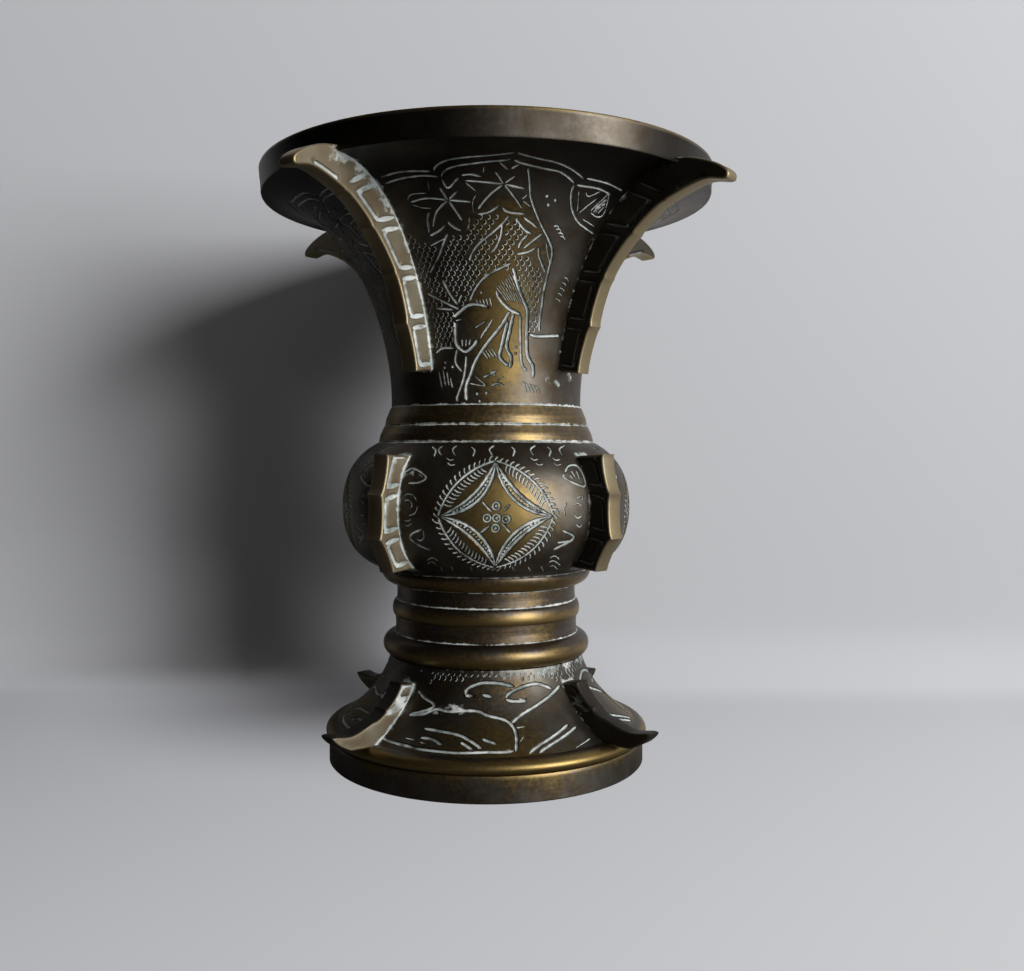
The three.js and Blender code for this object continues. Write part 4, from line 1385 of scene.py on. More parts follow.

# %% [markdown]
# Where polish, crust, grime and painted shade lie
#
# Polish dries white along the foot of every flange and fades into a haze. Below the stem it has run down
# as a crust, and a few crumbs of it lie elsewhere. The cloth reaches the middle of each panel best.

# %% Shares of seam along flanges, in crust and in crumbs
FLANGE_HALF = 2.25
LEFT_CLEAN = 0.5
SEAM_WIDTH = 0.5
SEAM_SHARE = 0.45
HAZE_WIDTH = 2.5
HAZE_SHARE = 0.36
CRUST_SHARE = 0.4
CRUST_SWING = 0.18
CRUST_TURN = 0.3
CRUST_FULL = 1.2
CRUST_DROP = 5.0
CRUST_TOP = 0.1
CRUMB_SHARE = 0.66
CRUMB_SIZE = 1.7


def flange_share(places, turns, low, high):
    """How near each place is to the foot of a flange, between two heights."""
    radius, angle = polar(places)
    aside = np.full(len(places), FAR)
    for turn in np.radians(turns):
        across = np.where(np.cos(angle - turn) > 0, radius * np.sin(angle - turn), FAR)
        aside = np.minimum(aside, np.abs(across) + LEFT_CLEAN * (across < 0))
    beyond = np.maximum(0, np.maximum(low - places[:, 2], places[:, 2] - high))
    away = np.hypot(np.maximum(0, aside - FLANGE_HALF), beyond)
    return SEAM_SHARE * np.exp(-away / SEAM_WIDTH) + HAZE_SHARE * np.exp(-away / HAZE_WIDTH)


def crust_share(places):
    """Crust that has run down from the stem, thicker on the right."""
    sided = CRUST_SHARE + CRUST_SWING * np.sin(polar(places)[1] + CRUST_TURN)
    run_down = np.clip(CRUST_FULL - (STEM_BOTTOM - places[:, 2]) / CRUST_DROP, 0, 1)
    return sided * run_down * (places[:, 2] < STEM_BOTTOM + CRUST_TOP)


def crumb_share(maps, wall, pixels):
    """How near each place on a wall is to the crumbs of crust under pixels of the photograph."""
    share = np.zeros(len(maps))
    for angle, distance in on_wall(wall, pixels):
        away = np.hypot((maps[:, 0] - angle) * wall.at(distance)[0], maps[:, 1] - distance)
        share = np.maximum(share, CRUMB_SHARE * np.exp(-(away / CRUMB_SIZE) ** 2))
    return share


def panel_middle(turns, angle):
    """1 on the middle line of a panel, 0 at its flanges."""
    edges = np.radians(np.array([*turns, turns[0] + 360]))
    angle = (angle - edges[0]) % (2 * math.pi) + edges[0]
    index = np.clip(np.searchsorted(edges, angle) - 1, 0, len(turns) - 1)
    share = (angle - edges[index]) / (edges[index + 1] - edges[index])
    return np.sin(np.clip(share, 0, 1) * math.pi)


def cast_section(name, wall, turns, drawings, rest, flange_span, rubbed, rest_rub, crumbs, node):
    """An engraved section with its plain remainder, finished and set in its node's place."""
    places, faces, cuts, maps = engraved_wall(wall, turns, drawings)
    rest_places, rest_faces = turned_rest(rest)
    count, plain = len(places), np.zeros(len(rest_places))
    faces += [tuple(count + i for i in face) for face in rest_faces]
    rub_and_painted_light = np.concatenate([rubbed(maps[:, 0], maps[:, 1]), rest_rub(rest_places)])
    seam = np.maximum.reduce([corner_share(polar(places)[0], places[:, 2]), crust_share(places),
                              crumb_share(maps, wall, crumbs), flange_share(places, turns, *flange_span)])
    mesh, first = welded(name, np.vstack([places, rest_places]), faces)
    shares = {"cut": np.concatenate([cuts, plain])[first], "seam": np.concatenate([seam, plain])[first],
              "rub_and_painted_light": rub_and_painted_light[first]}
    finish_piece(name, mesh, shares, cast_bronze, node)


print("polish seams are", SEAM_WIDTH, "mm wide with a haze of", HAZE_WIDTH, "mm")


# %% Drawings for the other panels, and the heights of the flanges' joints
SPRAY_SHIFT = (2.0, -26.0)
SPRAY_SCALE = 0.85
NECK_JOINTS = NECK_BOTTOM + np.array([8.35, 20.75, 32.8, 44.9])
BULB_JOINTS = BULB_BOTTOM + np.array([1.7, 9.7, 19.9, 29.2])
FOOT_JOINTS = BASE_TOP + np.array([5.1, 8.1, 14.6])
FOOT_FLANGE_TOP = BASE_TOP + 16.2


def mirrored(lines):
    """The lines turned left to right."""
    return [(width, points * (-1, 1)) for width, points in lines]


def moved(lines, shift, scale):
    """The lines shrunk about their middle and shifted."""
    middle = np.vstack([points for _, points in lines]).mean(axis=0)
    return [(width, (points - middle) * scale + middle + shift) for width, points in lines]


low_spray = moved(drawn(neck_wall, NECK_TURNS, left_leaf + right_leaf), SPRAY_SHIFT, SPRAY_SCALE)
neck_side = mirrored(neck_maple + neck_frame) + low_spray
neck_side_scales = clear_of(mirrored(neck_scales), neck_side, NECK_SCALE_GAP)
neck_drawings = [(neck_front + neck_scales, neck_punched), (neck_side + neck_side_scales, [])] * 2
bulb_drawings = [(bulb_front, bulb_rings)] * 4
foot_plain = foot_front + foot_scales
foot_drawings = [(foot_plain, []), (mirrored(foot_plain), [])] * 2
print("side of the neck:", len(neck_side), "strokes and", len(neck_side_scales), "scales")

# %% Neck
SPIGOT_DEPTH = 3.5
NECK_SPIGOT_RADIUS = THROAT_RADIUS - 1.5
LINING_STEPS = 60

# Lip: its width and bevels, and the height shares of the points up its face
LIP_WIDTH = 3.2
LIP_BEVEL = 0.5
LIP_EASED = 0.15
LIP_INNER_BEVEL = 0.3
LIP_RELIEF = (0.12, 0.35)
LIP_FACE = np.linspace(0.15, 1, 10)

# The rubbed stripe up each panel, by share of the way up
STRIPE_POWER = 7
STRIPE_FADE = 1.35
STRIPE_LEAST = 0.1
STRIPE_START = 0.15
STRIPE_START_LEAST = 0.35

# Painted shade under the lip, less towards one turn on the right where the light reaches, and painted shade
# on the left side
UNDER_LIP_FROM = 0.62
UNDER_LIP_RUN = 0.25
UNDER_LIP_MOST = 0.9
UNDER_LIP_LIT = 0.85
UNDER_LIP_LIT_TURN = 0.52
SIDE_SHADE = 0.6
SIDE_SHADE_FROM = 0.35
SIDE_SHADE_RUN = 0.6

# Places where fingers lift the vase by its lip, with their shares, and the lip's own grime and rubbed edge
LIFTED = ((math.radians(5), 0.85), (math.radians(29), 0.6))
LIFTED_WIDTH = math.radians(8)
LIP_GRIME = 0.8
LIP_EDGE_RUB = 0.6
LIP_EDGE_WIDTH = 1.0
LIP_EDGE_DROP = LIP_BEVEL + 0.1
LIP_FOOT_GAP = 0.2

lip = [(LIP_FOOT_RADIUS, LIP_BOTTOM), (LIP_FOOT_RADIUS + LIP_RELIEF[0], LIP_BOTTOM + LIP_RELIEF[1])]
lip += [(LIP_RADIUS - LIP_LEAN * (1 - t), LIP_BOTTOM + (LIP_HEIGHT - LIP_BEVEL) * t) for t in LIP_FACE]
lip += [(LIP_RADIUS - LIP_EASED, LIP_TOP - LIP_EASED), (LIP_RADIUS - LIP_BEVEL, LIP_TOP),
        (LIP_RADIUS - LIP_WIDTH / 2, LIP_TOP), (LIP_RADIUS - LIP_WIDTH + LIP_INNER_BEVEL, LIP_TOP),
        (LIP_RADIUS - LIP_WIDTH, LIP_TOP - LIP_INNER_BEVEL)]
neck_lining = [p for p in lining(neck_wall, LINING_STEPS) if p[0] < LIP_RADIUS - LIP_WIDTH]
neck_rest = [*lip, *neck_lining, (THROAT_RADIUS - WALL_THICKNESS, NECK_BOTTOM - SPIGOT_DEPTH),
             (NECK_SPIGOT_RADIUS, NECK_BOTTOM - SPIGOT_DEPTH), (NECK_SPIGOT_RADIUS, NECK_BOTTOM),
             (THROAT_RADIUS, NECK_BOTTOM)]
neck_crumbs = [(549, 381), (558, 382), (570, 380), (597, 208), (604, 203)]


def neck_rub_and_shade(angle, distance):
    """The neck is rubbed low on the middle of each panel, and darkened with painted shade under the lip and
    on its left side.
    """
    up = distance / neck_wall.length
    stripe = panel_middle(NECK_TURNS, angle) ** STRIPE_POWER * np.clip(STRIPE_FADE - up, STRIPE_LEAST, 1)
    stripe = stripe * np.clip(up / STRIPE_START, STRIPE_START_LEAST, 1)
    # Painted shade: under the lip, less on the lit right, and on the left side
    lit_under_lip = UNDER_LIP_LIT * np.clip(np.sin(angle - UNDER_LIP_LIT_TURN), 0, 1)
    under_lip = np.clip((up - UNDER_LIP_FROM) / UNDER_LIP_RUN, 0, UNDER_LIP_MOST) * (1 - lit_under_lip)
    left_side = SIDE_SHADE * np.clip((-np.sin(angle) - SIDE_SHADE_FROM) / SIDE_SHADE_RUN, 0, 1)
    return stripe - under_lip - left_side


def lip_rub(places):
    """The lip is grimy but where fingers lift it, its edge is rubbed, and the lining is as it was cast."""
    radius, angle = polar(places)
    touched = sum(share * np.exp(-((angle - place) / LIFTED_WIDTH) ** 2) for place, share in LIFTED)
    edge = (places[:, 2] > LIP_TOP - LIP_EDGE_DROP) & (radius > LIP_RADIUS - LIP_EDGE_WIDTH)
    face = np.where(places[:, 2] > LIP_BOTTOM - LIP_FOOT_GAP, touched - LIP_GRIME, 0.0)
    return np.where(edge, LIP_EDGE_RUB, face)


cast_section("engraved_neck", neck_wall, NECK_TURNS, neck_drawings, neck_rest, (NECK_JOINTS[0], LIP_BOTTOM),
             neck_rub_and_shade, lip_rub, neck_crumbs, "neck")

# %% Bulb
BULB_SOCKET_RADIUS = 23.6
BULB_MOUTH_RADIUS = 24.3
CROWN_REACH = 11.0
CROWN_POWER = 4

bulb_lining = [p for p in lining(bulb_wall, LINING_STEPS) if p[0] > BULB_MOUTH_RADIUS]
bulb_rest = [(BULB_TOP_RADIUS, COLLAR_BOTTOM), (BULB_MOUTH_RADIUS, COLLAR_BOTTOM),
             (BULB_MOUTH_RADIUS, COLLAR_BOTTOM - WALL_THICKNESS), *bulb_lining,
             (BULB_SOCKET_RADIUS, BULB_BOTTOM + WALL_THICKNESS), (BULB_SOCKET_RADIUS, BULB_BOTTOM),
             (BULB_FOOT_RADIUS, BULB_BOTTOM)]
bulb_crumbs = [(413, 472), (420, 476)]


def bulb_rub(angle, distance):
    """The bulb is rubbed on the crown of each medallion."""
    crown = np.exp(-((distance - medallion[1]) / CROWN_REACH) ** CROWN_POWER)
    return panel_middle(BULB_TURNS, angle) ** CROWN_POWER * crown


def unrubbed(places):
    """No cloth reaches the lining."""
    return np.zeros(len(places))


cast_section("engraved_bulb", bulb_wall, BULB_TURNS, bulb_drawings, bulb_rest,
             (BULB_JOINTS[0], BULB_JOINTS[-1]), bulb_rub, unrubbed, bulb_crumbs, "bulb")

# %% Foot
FOOT_BORE_RADIUS = FOOT_SEAT_RADIUS - 4.4
FOOT_LINING_STEPS = 40
ROLL_BULGE = 2.4
FOOT_RUB = 0.75
FOOT_RUB_POWER = 3
FOOT_RUB_FADE = 1.1
ROLL_RUB = 0.95
ROLL_RUB_RUN = 0.8

foot_lining = [(min(r, FOOT_BORE_RADIUS), z) for r, z in lining(foot_wall, FOOT_LINING_STEPS)]
foot_roll = moulding(FOOT_SEAT_RADIUS, BASE_TOP, FOOT_SHOULDER_RADIUS, FOOT_SHOULDER, ROLL_BULGE)
foot_rest = [(FOOT_TOP_RADIUS, STEM_BOTTOM), *foot_lining, (FOOT_BORE_RADIUS, BASE_TOP), *foot_roll]
foot_crumbs = [(438, 710), (446, 708), (454, 709), (463, 711)]


def foot_rub(angle, distance):
    """The foot is rubbed on its swelling, low on each panel."""
    fade = np.clip(FOOT_RUB_FADE - distance / foot_wall.length, 0, 1)
    return FOOT_RUB * panel_middle(FOOT_TURNS, angle) ** FOOT_RUB_POWER * fade


def roll_rub(places):
    """The rolled rim stands proud and is rubbed bright."""
    proud = polar(places)[0] > FOOT_SHOULDER_RADIUS
    return proud * np.clip((FOOT_SHOULDER - places[:, 2]) / ROLL_RUB_RUN, 0, ROLL_RUB)


cast_section("engraved_foot", foot_wall, FOOT_TURNS, foot_drawings, foot_rest,
             (FOOT_SHOULDER, FOOT_FLANGE_TOP), foot_rub, roll_rub, foot_crumbs, "foot")

# %% [markdown]
# Stem, collar, base ring and bottom plate
#
# These were turned and are plain. Stem and collar show the brass colour best: a rounded torus, two flat
# bands with a bead between them and a small cornice on the stem, and two stepped rings on the collar.
# The base ring is upright and dark. The bottom plate is right as the CAD has it and only takes the
# finish.

# %% Outlines of the turned pieces
SOLDER_GAP = 0.3

# Stem, with its bands a little hollow
STEM_BORE_RADIUS = 20.0
STEM_SPIGOT_RADIUS = FOOT_TOP_RADIUS - WALL_THICKNESS - SOLDER_GAP
TORUS_ROOT = FOOT_TOP_RADIUS - 1.1
TORUS_BULGE = 2.9
LOWER_BAND_RADIUS = FOOT_TOP_RADIUS - 1.3
LOWER_BAND_HOLLOW = 0.15
BEAD_BULGE = 0.9
UPPER_BAND_RADIUS = FOOT_TOP_RADIUS - 1.7
UPPER_BAND_HOLLOW = 0.1
CORNICE_BULGE = 1.8
BULB_SPIGOT_RADIUS = BULB_FOOT_RADIUS - 3.3

# Collar, each ring of which is eased below, breaks at a share of its height and slopes in
COLLAR_SPIGOT_RADIUS = 24.0
COLLAR_BORE_RADIUS = THROAT_RADIUS - WALL_THICKNESS
COLLAR_SOCKET_RADIUS = NECK_SPIGOT_RADIUS + SOLDER_GAP
COLLAR_SOCKET_BOTTOM = NECK_BOTTOM - SPIGOT_DEPTH - SOLDER_GAP
COLLAR_LOWER_RADIUS = 27.9
COLLAR_UPPER_RADIUS = 26.3
RING_EASED = (0.2, 0.25)
RING_BREAK = (0.35, 0.45)
RING_SLOPE = 1.4

# Base ring
BASE_OPENING_RADIUS = BASE_RADIUS - 6.5
PLATE_REBATE_RADIUS = BASE_RADIUS - 3.8
PLATE_BOTTOM = BASE_TOP - 2.9
BASE_EASED = 0.3
BASE_EDGE = ((0.0, 0.6), (0.15, 0.2), (0.5, 0.0))

stem_outline = [
    (STEM_BORE_RADIUS, STEM_BOTTOM - SPIGOT_DEPTH),
    (STEM_SPIGOT_RADIUS, STEM_BOTTOM - SPIGOT_DEPTH),
    (STEM_SPIGOT_RADIUS, STEM_BOTTOM),
    *moulding(TORUS_ROOT, STEM_BOTTOM, TORUS_ROOT, LOWER_BAND, TORUS_BULGE),
    (LOWER_BAND_RADIUS, LOWER_BAND),
    (LOWER_BAND_RADIUS - LOWER_BAND_HOLLOW, (LOWER_BAND + BEAD) / 2),
    *moulding(LOWER_BAND_RADIUS, BEAD, UPPER_BAND_RADIUS, UPPER_BAND, BEAD_BULGE),
    (UPPER_BAND_RADIUS - UPPER_BAND_HOLLOW, (UPPER_BAND + CORNICE) / 2),
    *moulding(UPPER_BAND_RADIUS, CORNICE, BULB_FOOT_RADIUS, BULB_BOTTOM, CORNICE_BULGE),
    (BULB_SPIGOT_RADIUS, BULB_BOTTOM),
    (BULB_SPIGOT_RADIUS, BULB_BOTTOM + SPIGOT_DEPTH),
    (STEM_BORE_RADIUS, BULB_BOTTOM + SPIGOT_DEPTH),
]


def collar_ring(radius, low, high):
    """One ring of the collar: nearly upright, then sloping in."""
    return [(radius - RING_EASED[0], low), (radius, low + RING_EASED[1]),
            (radius - RING_BREAK[0], low + RING_BREAK[1] * (high - low)), (radius - RING_SLOPE, high)]


collar_outline = [
    (COLLAR_BORE_RADIUS, COLLAR_BOTTOM - SPIGOT_DEPTH),
    (COLLAR_SPIGOT_RADIUS, COLLAR_BOTTOM - SPIGOT_DEPTH),
    (COLLAR_SPIGOT_RADIUS, COLLAR_BOTTOM),
    *collar_ring(COLLAR_LOWER_RADIUS, COLLAR_BOTTOM, COLLAR_STEP),
    *collar_ring(COLLAR_UPPER_RADIUS, COLLAR_STEP, NECK_BOTTOM),
    (COLLAR_SOCKET_RADIUS, NECK_BOTTOM),
    (COLLAR_SOCKET_RADIUS, COLLAR_SOCKET_BOTTOM),
    (COLLAR_BORE_RADIUS, COLLAR_SOCKET_BOTTOM),
]
base_outline = [
    (BASE_OPENING_RADIUS, 0),
    (BASE_RADIUS - BASE_EASED, 0),
    (BASE_RADIUS, BASE_EASED),
    *[(BASE_RADIUS - inward, BASE_TOP - down) for inward, down in BASE_EDGE],
    (PLATE_REBATE_RADIUS, BASE_TOP),
    (PLATE_REBATE_RADIUS, PLATE_BOTTOM),
    (BASE_OPENING_RADIUS, PLATE_BOTTOM),
]
print("outlines have", len(stem_outline), len(collar_outline), len(base_outline), "corners")

# %% Turn them
BAND_RUB = 0.3
# Bare metal low on each moulding, fading upward: partly wear, partly a painted highlight
MOULDING_RUB_AND_HIGHLIGHT = 1.55
MOULDING_HIGHLIGHT_FALL = 1.6
MOULDING_RUB_LEAST = 0.15
COLLAR_RUB = 0.5
BASE_RUB = 0.1
BASE_EDGE_RUB = 0.5
BASE_RUB_POWER = 3


def stem_rub_and_highlight(radius, height):
    """Each moulding of the stem is rubbed on its lower half, partly wear and partly a painted highlight where
    the highlights fall.
    """
    share = np.full(len(radius), BAND_RUB)
    for low, high in ((STEM_BOTTOM, LOWER_BAND), (BEAD, UPPER_BAND), (CORNICE, BULB_BOTTOM)):
        up = (height - low) / (high - low)
        rubbed = np.clip(MOULDING_RUB_AND_HIGHLIGHT - MOULDING_HIGHLIGHT_FALL * up, MOULDING_RUB_LEAST, 1)
        share = np.where((up > 0) & (up < 1), rubbed, share)
    return share


def collar_rub(radius, height):
    """The collar is rubbed evenly."""
    return np.full(len(radius), COLLAR_RUB)


def base_rub(radius, height):
    """The base ring is rubbed near its upper edge only."""
    return np.clip(BASE_RUB + BASE_EDGE_RUB * (height / BASE_TOP) ** BASE_RUB_POWER, 0, 1)


for name, outline, rubbed, node, slot, finish in (
        ("turned_stem", stem_outline, stem_rub_and_highlight, "stem", "rubbed_bronze", turned_bronze),
        ("turned_collar", collar_outline, collar_rub, "collar", "rubbed_bronze", turned_bronze),
        ("turned_base", base_outline, base_rub, "base_ring", "dark_bronze", cast_bronze)):
    made, shares = turned_section(name, outline, rubbed, finish)
    finish_piece(name, made, shares, finish, node)
plate = bpy.data.objects["bottom_plate"]
plate.data.materials.clear()
plate.data.materials.append(cast_bronze)

# %% [markdown]
# Bamboo-stalk flanges
#
# Twelve flanges were sawn from plate to the outline of a bamboo stalk and soldered to the walls. Each
# stalk swells at its joints. Its faces are engraved with a long line beside the outer edge of every
# segment and a pair of leaf-shaped cuts where two segments meet. A face is one more flat panel for the
# engraver, cut to the stalk's outline, and the rim is rounded over between the two faces. One mesh is
# made for each of the three kinds and turned to its four places.

# %% Outline of a flange
OUTLINE_STEP = 0.55
SEGMENT_POINTS = 15
STALK_WAIST = 0.45
WAIST_POWER = 0.7
JOINT_RIDGE = 0.22
RIDGE_SHARE = 0.06
SUNK = 0.6
SEAT_POINTS = 60
CORNER_TURN = 0.6
LEAST_SPREAD = 0.5


def no_stretch(height):
    """A flange face is flat, so its layout has no stretch."""
    return np.ones(len(height))


def stalk_edge(joints):
    """A stalk's outer edge up through its joints, drawn in between them, with a small ridge at each."""
    edge = [joints[:1]]
    for start, end in zip(joints, joints[1:]):
        run = (end - start) / np.hypot(*(end - start))
        share = np.linspace(0, 1, SEGMENT_POINTS)[1:, None]
        ridge = JOINT_RIDGE * np.exp(-((0.5 - abs(share - 0.5)) / RIDGE_SHARE) ** 2)
        drawn_in = STALK_WAIST * np.sin(share * math.pi) ** WAIST_POWER - ridge
        edge.append(start + (end - start) * share + np.array([-run[1], run[0]]) * drawn_in)
    return np.vstack(edge)


def seated_edge(wall, low, high):
    """The edge that is let into a wall, from its top down."""
    top, bottom = wall.seats(np.array([high, low]))
    return wall.off(np.linspace(top, bottom, SEAT_POINTS), -SUNK)


def spaced(outline):
    """A closed outline with evenly spaced points, its sharp corners kept."""
    ways = np.roll(outline, -1, axis=0) - outline
    heading = np.arctan2(ways[:, 1], ways[:, 0])
    turn = np.abs(np.angle(np.exp(1j * (heading - np.roll(heading, 1)))))
    corners = np.flatnonzero(turn > CORNER_TURN)
    made = []
    for start, end in zip(corners, np.append(corners[1:], corners[0] + len(outline))):
        run = outline[np.arange(start, end + 1) % len(outline)]
        far = travelled(run)
        marks = np.linspace(0, far[-1], max(2, round(far[-1] / OUTLINE_STEP)) + 1)[:-1]
        made.append(np.column_stack([np.interp(marks, far, run[:, 0]), np.interp(marks, far, run[:, 1])]))
    return np.vstack(made)


def inset(outline, amount):
    """The outline moved into the metal."""
    before = unit(outline - np.roll(outline, 1, axis=0))
    after = unit(np.roll(outline, -1, axis=0) - outline)
    inward = np.column_stack([-(before + after)[:, 1], (before + after)[:, 0]])
    inward /= np.maximum(np.linalg.norm(inward, axis=1), TINY)[:, None]
    beside = np.column_stack([-before[:, 1], before[:, 0]])
    spread = np.maximum(LEAST_SPREAD, np.abs((inward * beside).sum(axis=1)))
    return outline + inward * (amount / spread)[:, None]


print("stalks are drawn in by", STALK_WAIST, "mm between joints")

# %% Faces and rim of a flange
FACE_STEP = 1.1
FACE_MARGIN = 0.5
RIM_ROUND = 0.5
RIM_STEPS = ((1.0, 0.0), (0.62, 0.08), (0.29, 0.29), (0.08, 0.62), (0.0, 1.0))

# Painted shade on the left faces: their polish against the right ones, in the cuts and along the seam, and
# how dark they are
LEFT_FACE_SHADED_POLISH = 0.38
LEFT_FACE_SHADED_SEAM = 0.5
LEFT_FACE_SHADE = -0.8

# Seam and haze at the wall, and the crust at the top of the neck's flanges
ROOT_SEAM = 0.8
ROOT_HAZE = 0.3
ROOT_CRUST = 0.6
ROOT_CRUST_RISE = 9
ROOT_CRUST_FULL = 1.2
ROOT_CRUST_REACH = 6

# Rubbed rim: its amount, how fast it fades over the face, and how far from the wall it starts
RIM_RUB = 1.1
RIM_RUB_WIDTH = 0.8
RIM_RUB_LIMITS = (0.1, 0.9)
RIM_RUB_CLEAR = 3
RIM_RUB_AT_WALL = 0.3


def flange_mesh(outline, strokes, wall, crust_from, rim_rub=1.0, face_grime=0.0):
    """Places (radius, aside, height), faces and finish shares of one flange, with crust from a height up."""
    outline = spaced(outline)
    rim = [(inset(outline, RIM_ROUND * into), FLANGE_HALF - RIM_ROUND * down) for into, down in RIM_STEPS]
    border = rim[0][0]
    low, high = border.min(axis=0), border.max(axis=0)
    filling = crossings(*[np.arange(start, end, FACE_STEP) for start, end in zip(low, high)])
    filling = filling[within(inset(border, FACE_MARGIN), filling)]
    flat, deep, share, triangles = engraved_panel(border, filling, strokes, no_stretch)
    triangles = triangles[within(border, flat[triangles].mean(axis=1))]

    # Right face, left face, and the loops of the rim between them
    size = len(flat)
    places = [np.column_stack([flat[:, 0], side * (FLANGE_HALF - deep), flat[:, 1]]) for side in (1, -1)]
    faces = [tuple(t[::-1]) for t in triangles] + [tuple(size + t) for t in triangles]
    loops = [np.column_stack([loop[:, 0], np.full(len(loop), aside), loop[:, 1]]) for loop, aside in rim]
    loops += [loop * (1, -1, 1) for loop in loops[::-1]]
    for a, b, c, d in loop_quads(len(loops), len(outline)):
        faces.append((2 * size + a, 2 * size + d, 2 * size + c, 2 * size + b))
    places = np.vstack([*places, *loops])
    # Less polish shows in the cuts of the left faces: painted shade
    cuts = np.concatenate([share, share * LEFT_FACE_SHADED_POLISH, np.zeros(len(places) - 2 * size)])

    # Polish by the distance from the wall, rubbing by the distance from the rim
    radius, height, out_radius, out_height = wall.at(wall.nearest(places[:, 0], places[:, 2]))
    off_radius, off_height = places[:, 0] - radius, places[:, 2] - height
    above = off_radius * out_radius + off_height * out_height
    away = np.hypot(off_radius, off_height)
    crust = np.clip((places[:, 2] - crust_from) / ROOT_CRUST_RISE, 0, ROOT_CRUST)
    crust = crust * np.clip(ROOT_CRUST_FULL - away / ROOT_CRUST_REACH, 0, 1)
    seam = np.maximum(ROOT_SEAM * np.exp(-away / SEAM_WIDTH) + ROOT_HAZE * np.exp(-away / HAZE_WIDTH), crust)
    edge = np.full(len(places), FAR)
    for point in rim[-1][0]:
        edge = np.minimum(edge, np.hypot(places[:, 0] - point[0], places[:, 2] - point[1]))
    rub_and_painted_light = np.clip(RIM_RUB - edge / RIM_RUB_WIDTH, *RIM_RUB_LIMITS)
    rub_and_painted_light = rub_and_painted_light * np.clip(above / RIM_RUB_CLEAR, RIM_RUB_AT_WALL, 1)

    rub_and_painted_light[:size] -= face_grime
    # Painted shade: the left faces are darkened and show less polish along the seam
    rub_and_painted_light[size:2 * size] = LEFT_FACE_SHADE
    seam[size:2 * size] *= LEFT_FACE_SHADED_SEAM
    rub_and_painted_light[2 * size:] *= rim_rub
    return places, faces, {"cut": cuts, "seam": seam, "rub_and_painted_light": rub_and_painted_light}


def set_flanges(name, node, made, turns):
    """Turns one flange to its four places."""
    places, faces, shares = made
    radius, aside, height = places.T
    for number, turn in enumerate(turns, 1):
        sine, cosine = math.sin(math.radians(turn)), math.cos(math.radians(turn))
        turned = np.column_stack([radius * sine + aside * cosine, -radius * cosine + aside * sine, height])
        mesh, first = welded(f"{name}_{number}", turned, faces)
        own = {share: values[first] for share, values in shares.items()}
        finish_piece(f"{name}_{number}", mesh, own, plate_bronze, f"{node}_{number}")


print("rim is rounded over", RIM_ROUND, "mm in", len(RIM_STEPS), "steps")

# %% Engraving of a stalk
FLANGE_HOLD = 3.0

# Leaf cuts: width, depth, taper, the share of a leaf that its tips take, and the span from edge to wall
LEAF_WIDTH = 1.9
LEAF_DEPTH = 0.3
LEAF_TAPER = 0.5
LEAF_TIP = 0.38
LEAF_SPAN = (0.2, 0.97)
LEAF_APART = 1.3

# A leaf's way in to the wall: least rise, how far it turns to the wall, and the path that is searched
LEAF_LEVEL = 0.19
LEAF_RISE = 0.38
LEAF_REACH = np.linspace(0, 18, 361)[:, None]

# Long lines: how far in from the edge, width, and their tips and ends
LINE_INSET = 0.3
LINE_WIDTH = 1.35
LINE_TIP = 0.5
LINE_END = 0.35


def leaf_cut(start, end):
    """A leaf-shaped cut from one place to another."""
    return Stroke(smooth_line([start, end]), LEAF_WIDTH, tip=LEAF_TIP * math.dist(start, end),
                  taper=LEAF_TAPER, tremor=0, depth=LEAF_DEPTH, hold=FLANGE_HOLD)


def leaf_root(start, wall):
    """Where a leaf cut from the outer edge meets the wall: on its way in it rises a little towards it."""
    _, _, out_radius, out_height = wall.at(wall.nearest(start[:1], start[1:]))
    inward = -(1 - LEAF_RISE) - LEAF_RISE * out_radius[0]
    way = np.array([inward, max(LEAF_LEVEL, -LEAF_RISE * out_height[0])])
    path = start + LEAF_REACH * way / np.hypot(*way)
    reached = path[:, 0] < wall.radius_at(path[:, 1])
    return path[reached.argmax()]


def stalk_strokes(joints, wall, last_pair):
    """A long line in each segment and leaf cuts beside each joint; last_pair adds one above the last."""
    strokes, lines = [], []
    for i, (joint, way) in enumerate(zip(joints, unit(np.gradient(joints, axis=0)))):
        for side in (-1, 1):
            if i == 0 and side < 0:
                continue
            middle = joint + way * side * LEAF_APART
            inward = leaf_root(middle, wall) - middle
            lines.append(middle + inward * LINE_INSET)
            if i < len(joints) - 1 or side < 0 or last_pair:
                strokes.append(leaf_cut(*[middle + inward * share for share in LEAF_SPAN]))
    for start, end in zip(lines[0::2], lines[1::2]):
        gap = (end - start) / np.hypot(*(end - start)) * LINE_END
        strokes.append(Stroke(smooth_line([start + gap, end - gap]), LINE_WIDTH, tip=LINE_TIP,
                              hold=FLANGE_HOLD))
    return strokes


print("leaf cuts are", LEAF_WIDTH, "mm wide and", LEAF_DEPTH, "mm deep")

# %% Neck flanges, with their horns under the lip
NECK_DEPTHS = np.array([6.0, 7.2, 6.9, 8.2])
HORN_TIP = 0.8
NECK_CRUST_DROP = 15

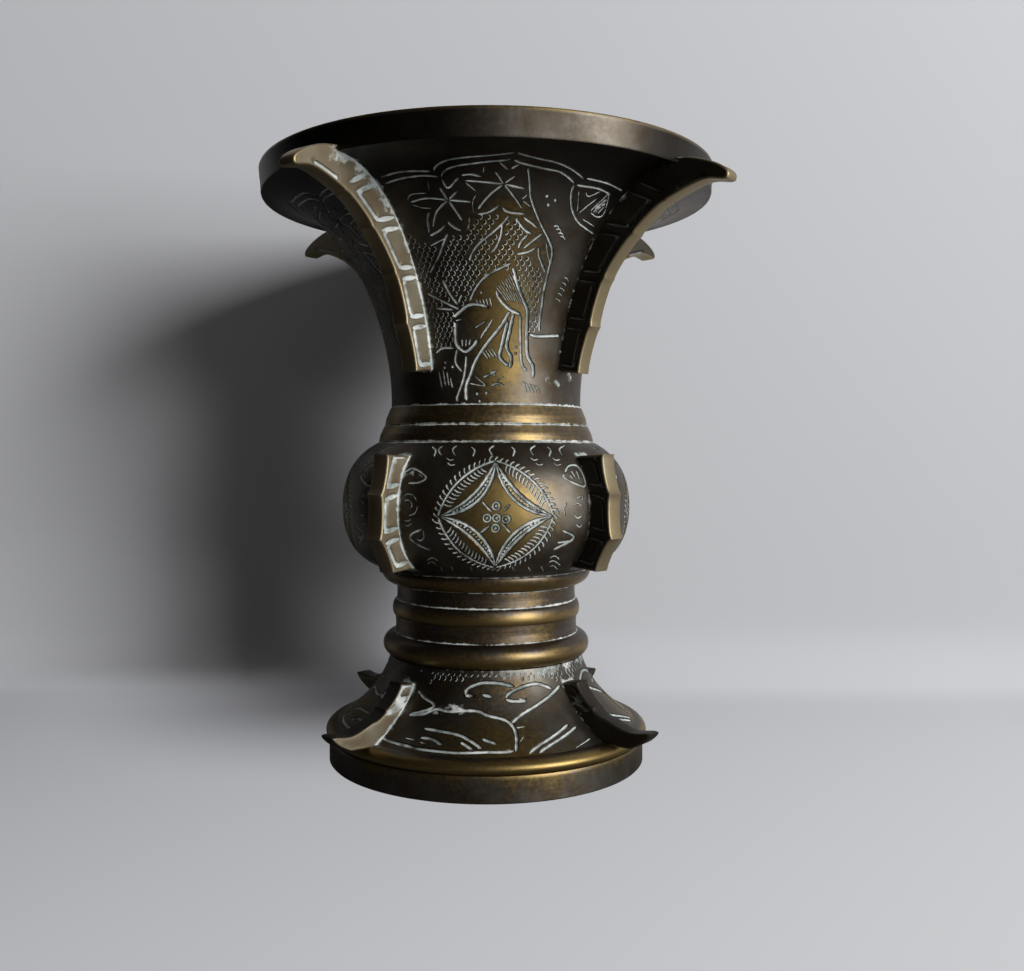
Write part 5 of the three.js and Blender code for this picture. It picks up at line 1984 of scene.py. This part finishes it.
horn_joint = np.array([LIP_RADIUS - 3.5, LIP_BOTTOM - 7.9])
horn_nose = np.array([LIP_RADIUS + 12.1, LIP_BOTTOM - 4.6])
horn = smooth_line([horn_joint, horn_joint + (5.6, 2.0), horn_nose - (5.3, 0.3), horn_nose - (0.9, 1.0),
                    horn_nose, horn_nose + (-0.7, 1.4), horn_nose + (-3.8, 3.4), horn_nose + (-8.8, 5.3),
                    (LIP_RADIUS - 1.0, LIP_BOTTOM + 1.4)])
neck_joints = np.vstack([neck_wall.off(neck_wall.seats(NECK_JOINTS), NECK_DEPTHS), horn_joint])
neck_outline = np.vstack([stalk_edge(neck_joints), horn[1:],
                          seated_edge(neck_wall, NECK_JOINTS[0], LIP_BOTTOM)])
neck_cuts = stalk_strokes(neck_joints, neck_wall, True)
horn_line = smooth_line([horn_joint + (2.6, 1.9), horn_joint + (6.0, 3.0), horn_joint + (9.8, 4.0)])
neck_cuts.append(Stroke(horn_line, LINE_WIDTH, tip=HORN_TIP, hold=FLANGE_HOLD))
neck_flange = flange_mesh(neck_outline, neck_cuts, neck_wall, LIP_BOTTOM - NECK_CRUST_DROP)
set_flanges("bamboo_neck_flange", "neck_flange", neck_flange, NECK_TURNS)

# %% Bulb flanges
BULB_REACHES = np.array([1.6, 6.1, 5.7, 3.6])
BULB_RIM_RUB = 0.65

bulb_joints = np.column_stack([BULB_RADIUS + BULB_REACHES, BULB_JOINTS])
bulb_outline = np.vstack([stalk_edge(bulb_joints), seated_edge(bulb_wall, BULB_JOINTS[0], BULB_JOINTS[-1])])
bulb_cuts = stalk_strokes(bulb_joints, bulb_wall, False)
bulb_flange = flange_mesh(bulb_outline, bulb_cuts, bulb_wall, LIP_TOP, BULB_RIM_RUB)
set_flanges("bamboo_bulb_flange", "bulb_flange", bulb_flange, BULB_TURNS)

# %% Foot flanges, with their spurs
FOOT_DEPTHS = np.array([4.9, 4.1, 4.0])
# The rims of the foot flanges are made darker instead of rubbed
FOOT_RIM_DARKENING = -1.0
FOOT_FACE_GRIME = 0.45

foot_joints = foot_wall.off(foot_wall.seats(FOOT_JOINTS), FOOT_DEPTHS)
spur_root = (FOOT_SEAT_RADIUS + ROLL_BULGE + 3.6, FOOT_SHOULDER - 0.2)
spur_nose = np.array([BASE_RADIUS + 10.4, BASE_TOP + 7.1])
spur = smooth_line([spur_root, spur_nose - (2.0, 2.0), spur_nose, spur_nose + (-1.0, 0.5),
                    spur_nose - (6.0, 0), foot_joints[0]])
foot_outline = np.vstack([spur[:-1], stalk_edge(foot_joints),
                          seated_edge(foot_wall, FOOT_SHOULDER, FOOT_FLANGE_TOP)])
foot_cuts = stalk_strokes(foot_joints, foot_wall, False)
foot_flange = flange_mesh(foot_outline, foot_cuts, foot_wall, LIP_TOP, FOOT_RIM_DARKENING, FOOT_FACE_GRIME)
set_flanges("bamboo_foot_flange", "foot_flange", foot_flange, FOOT_TURNS)
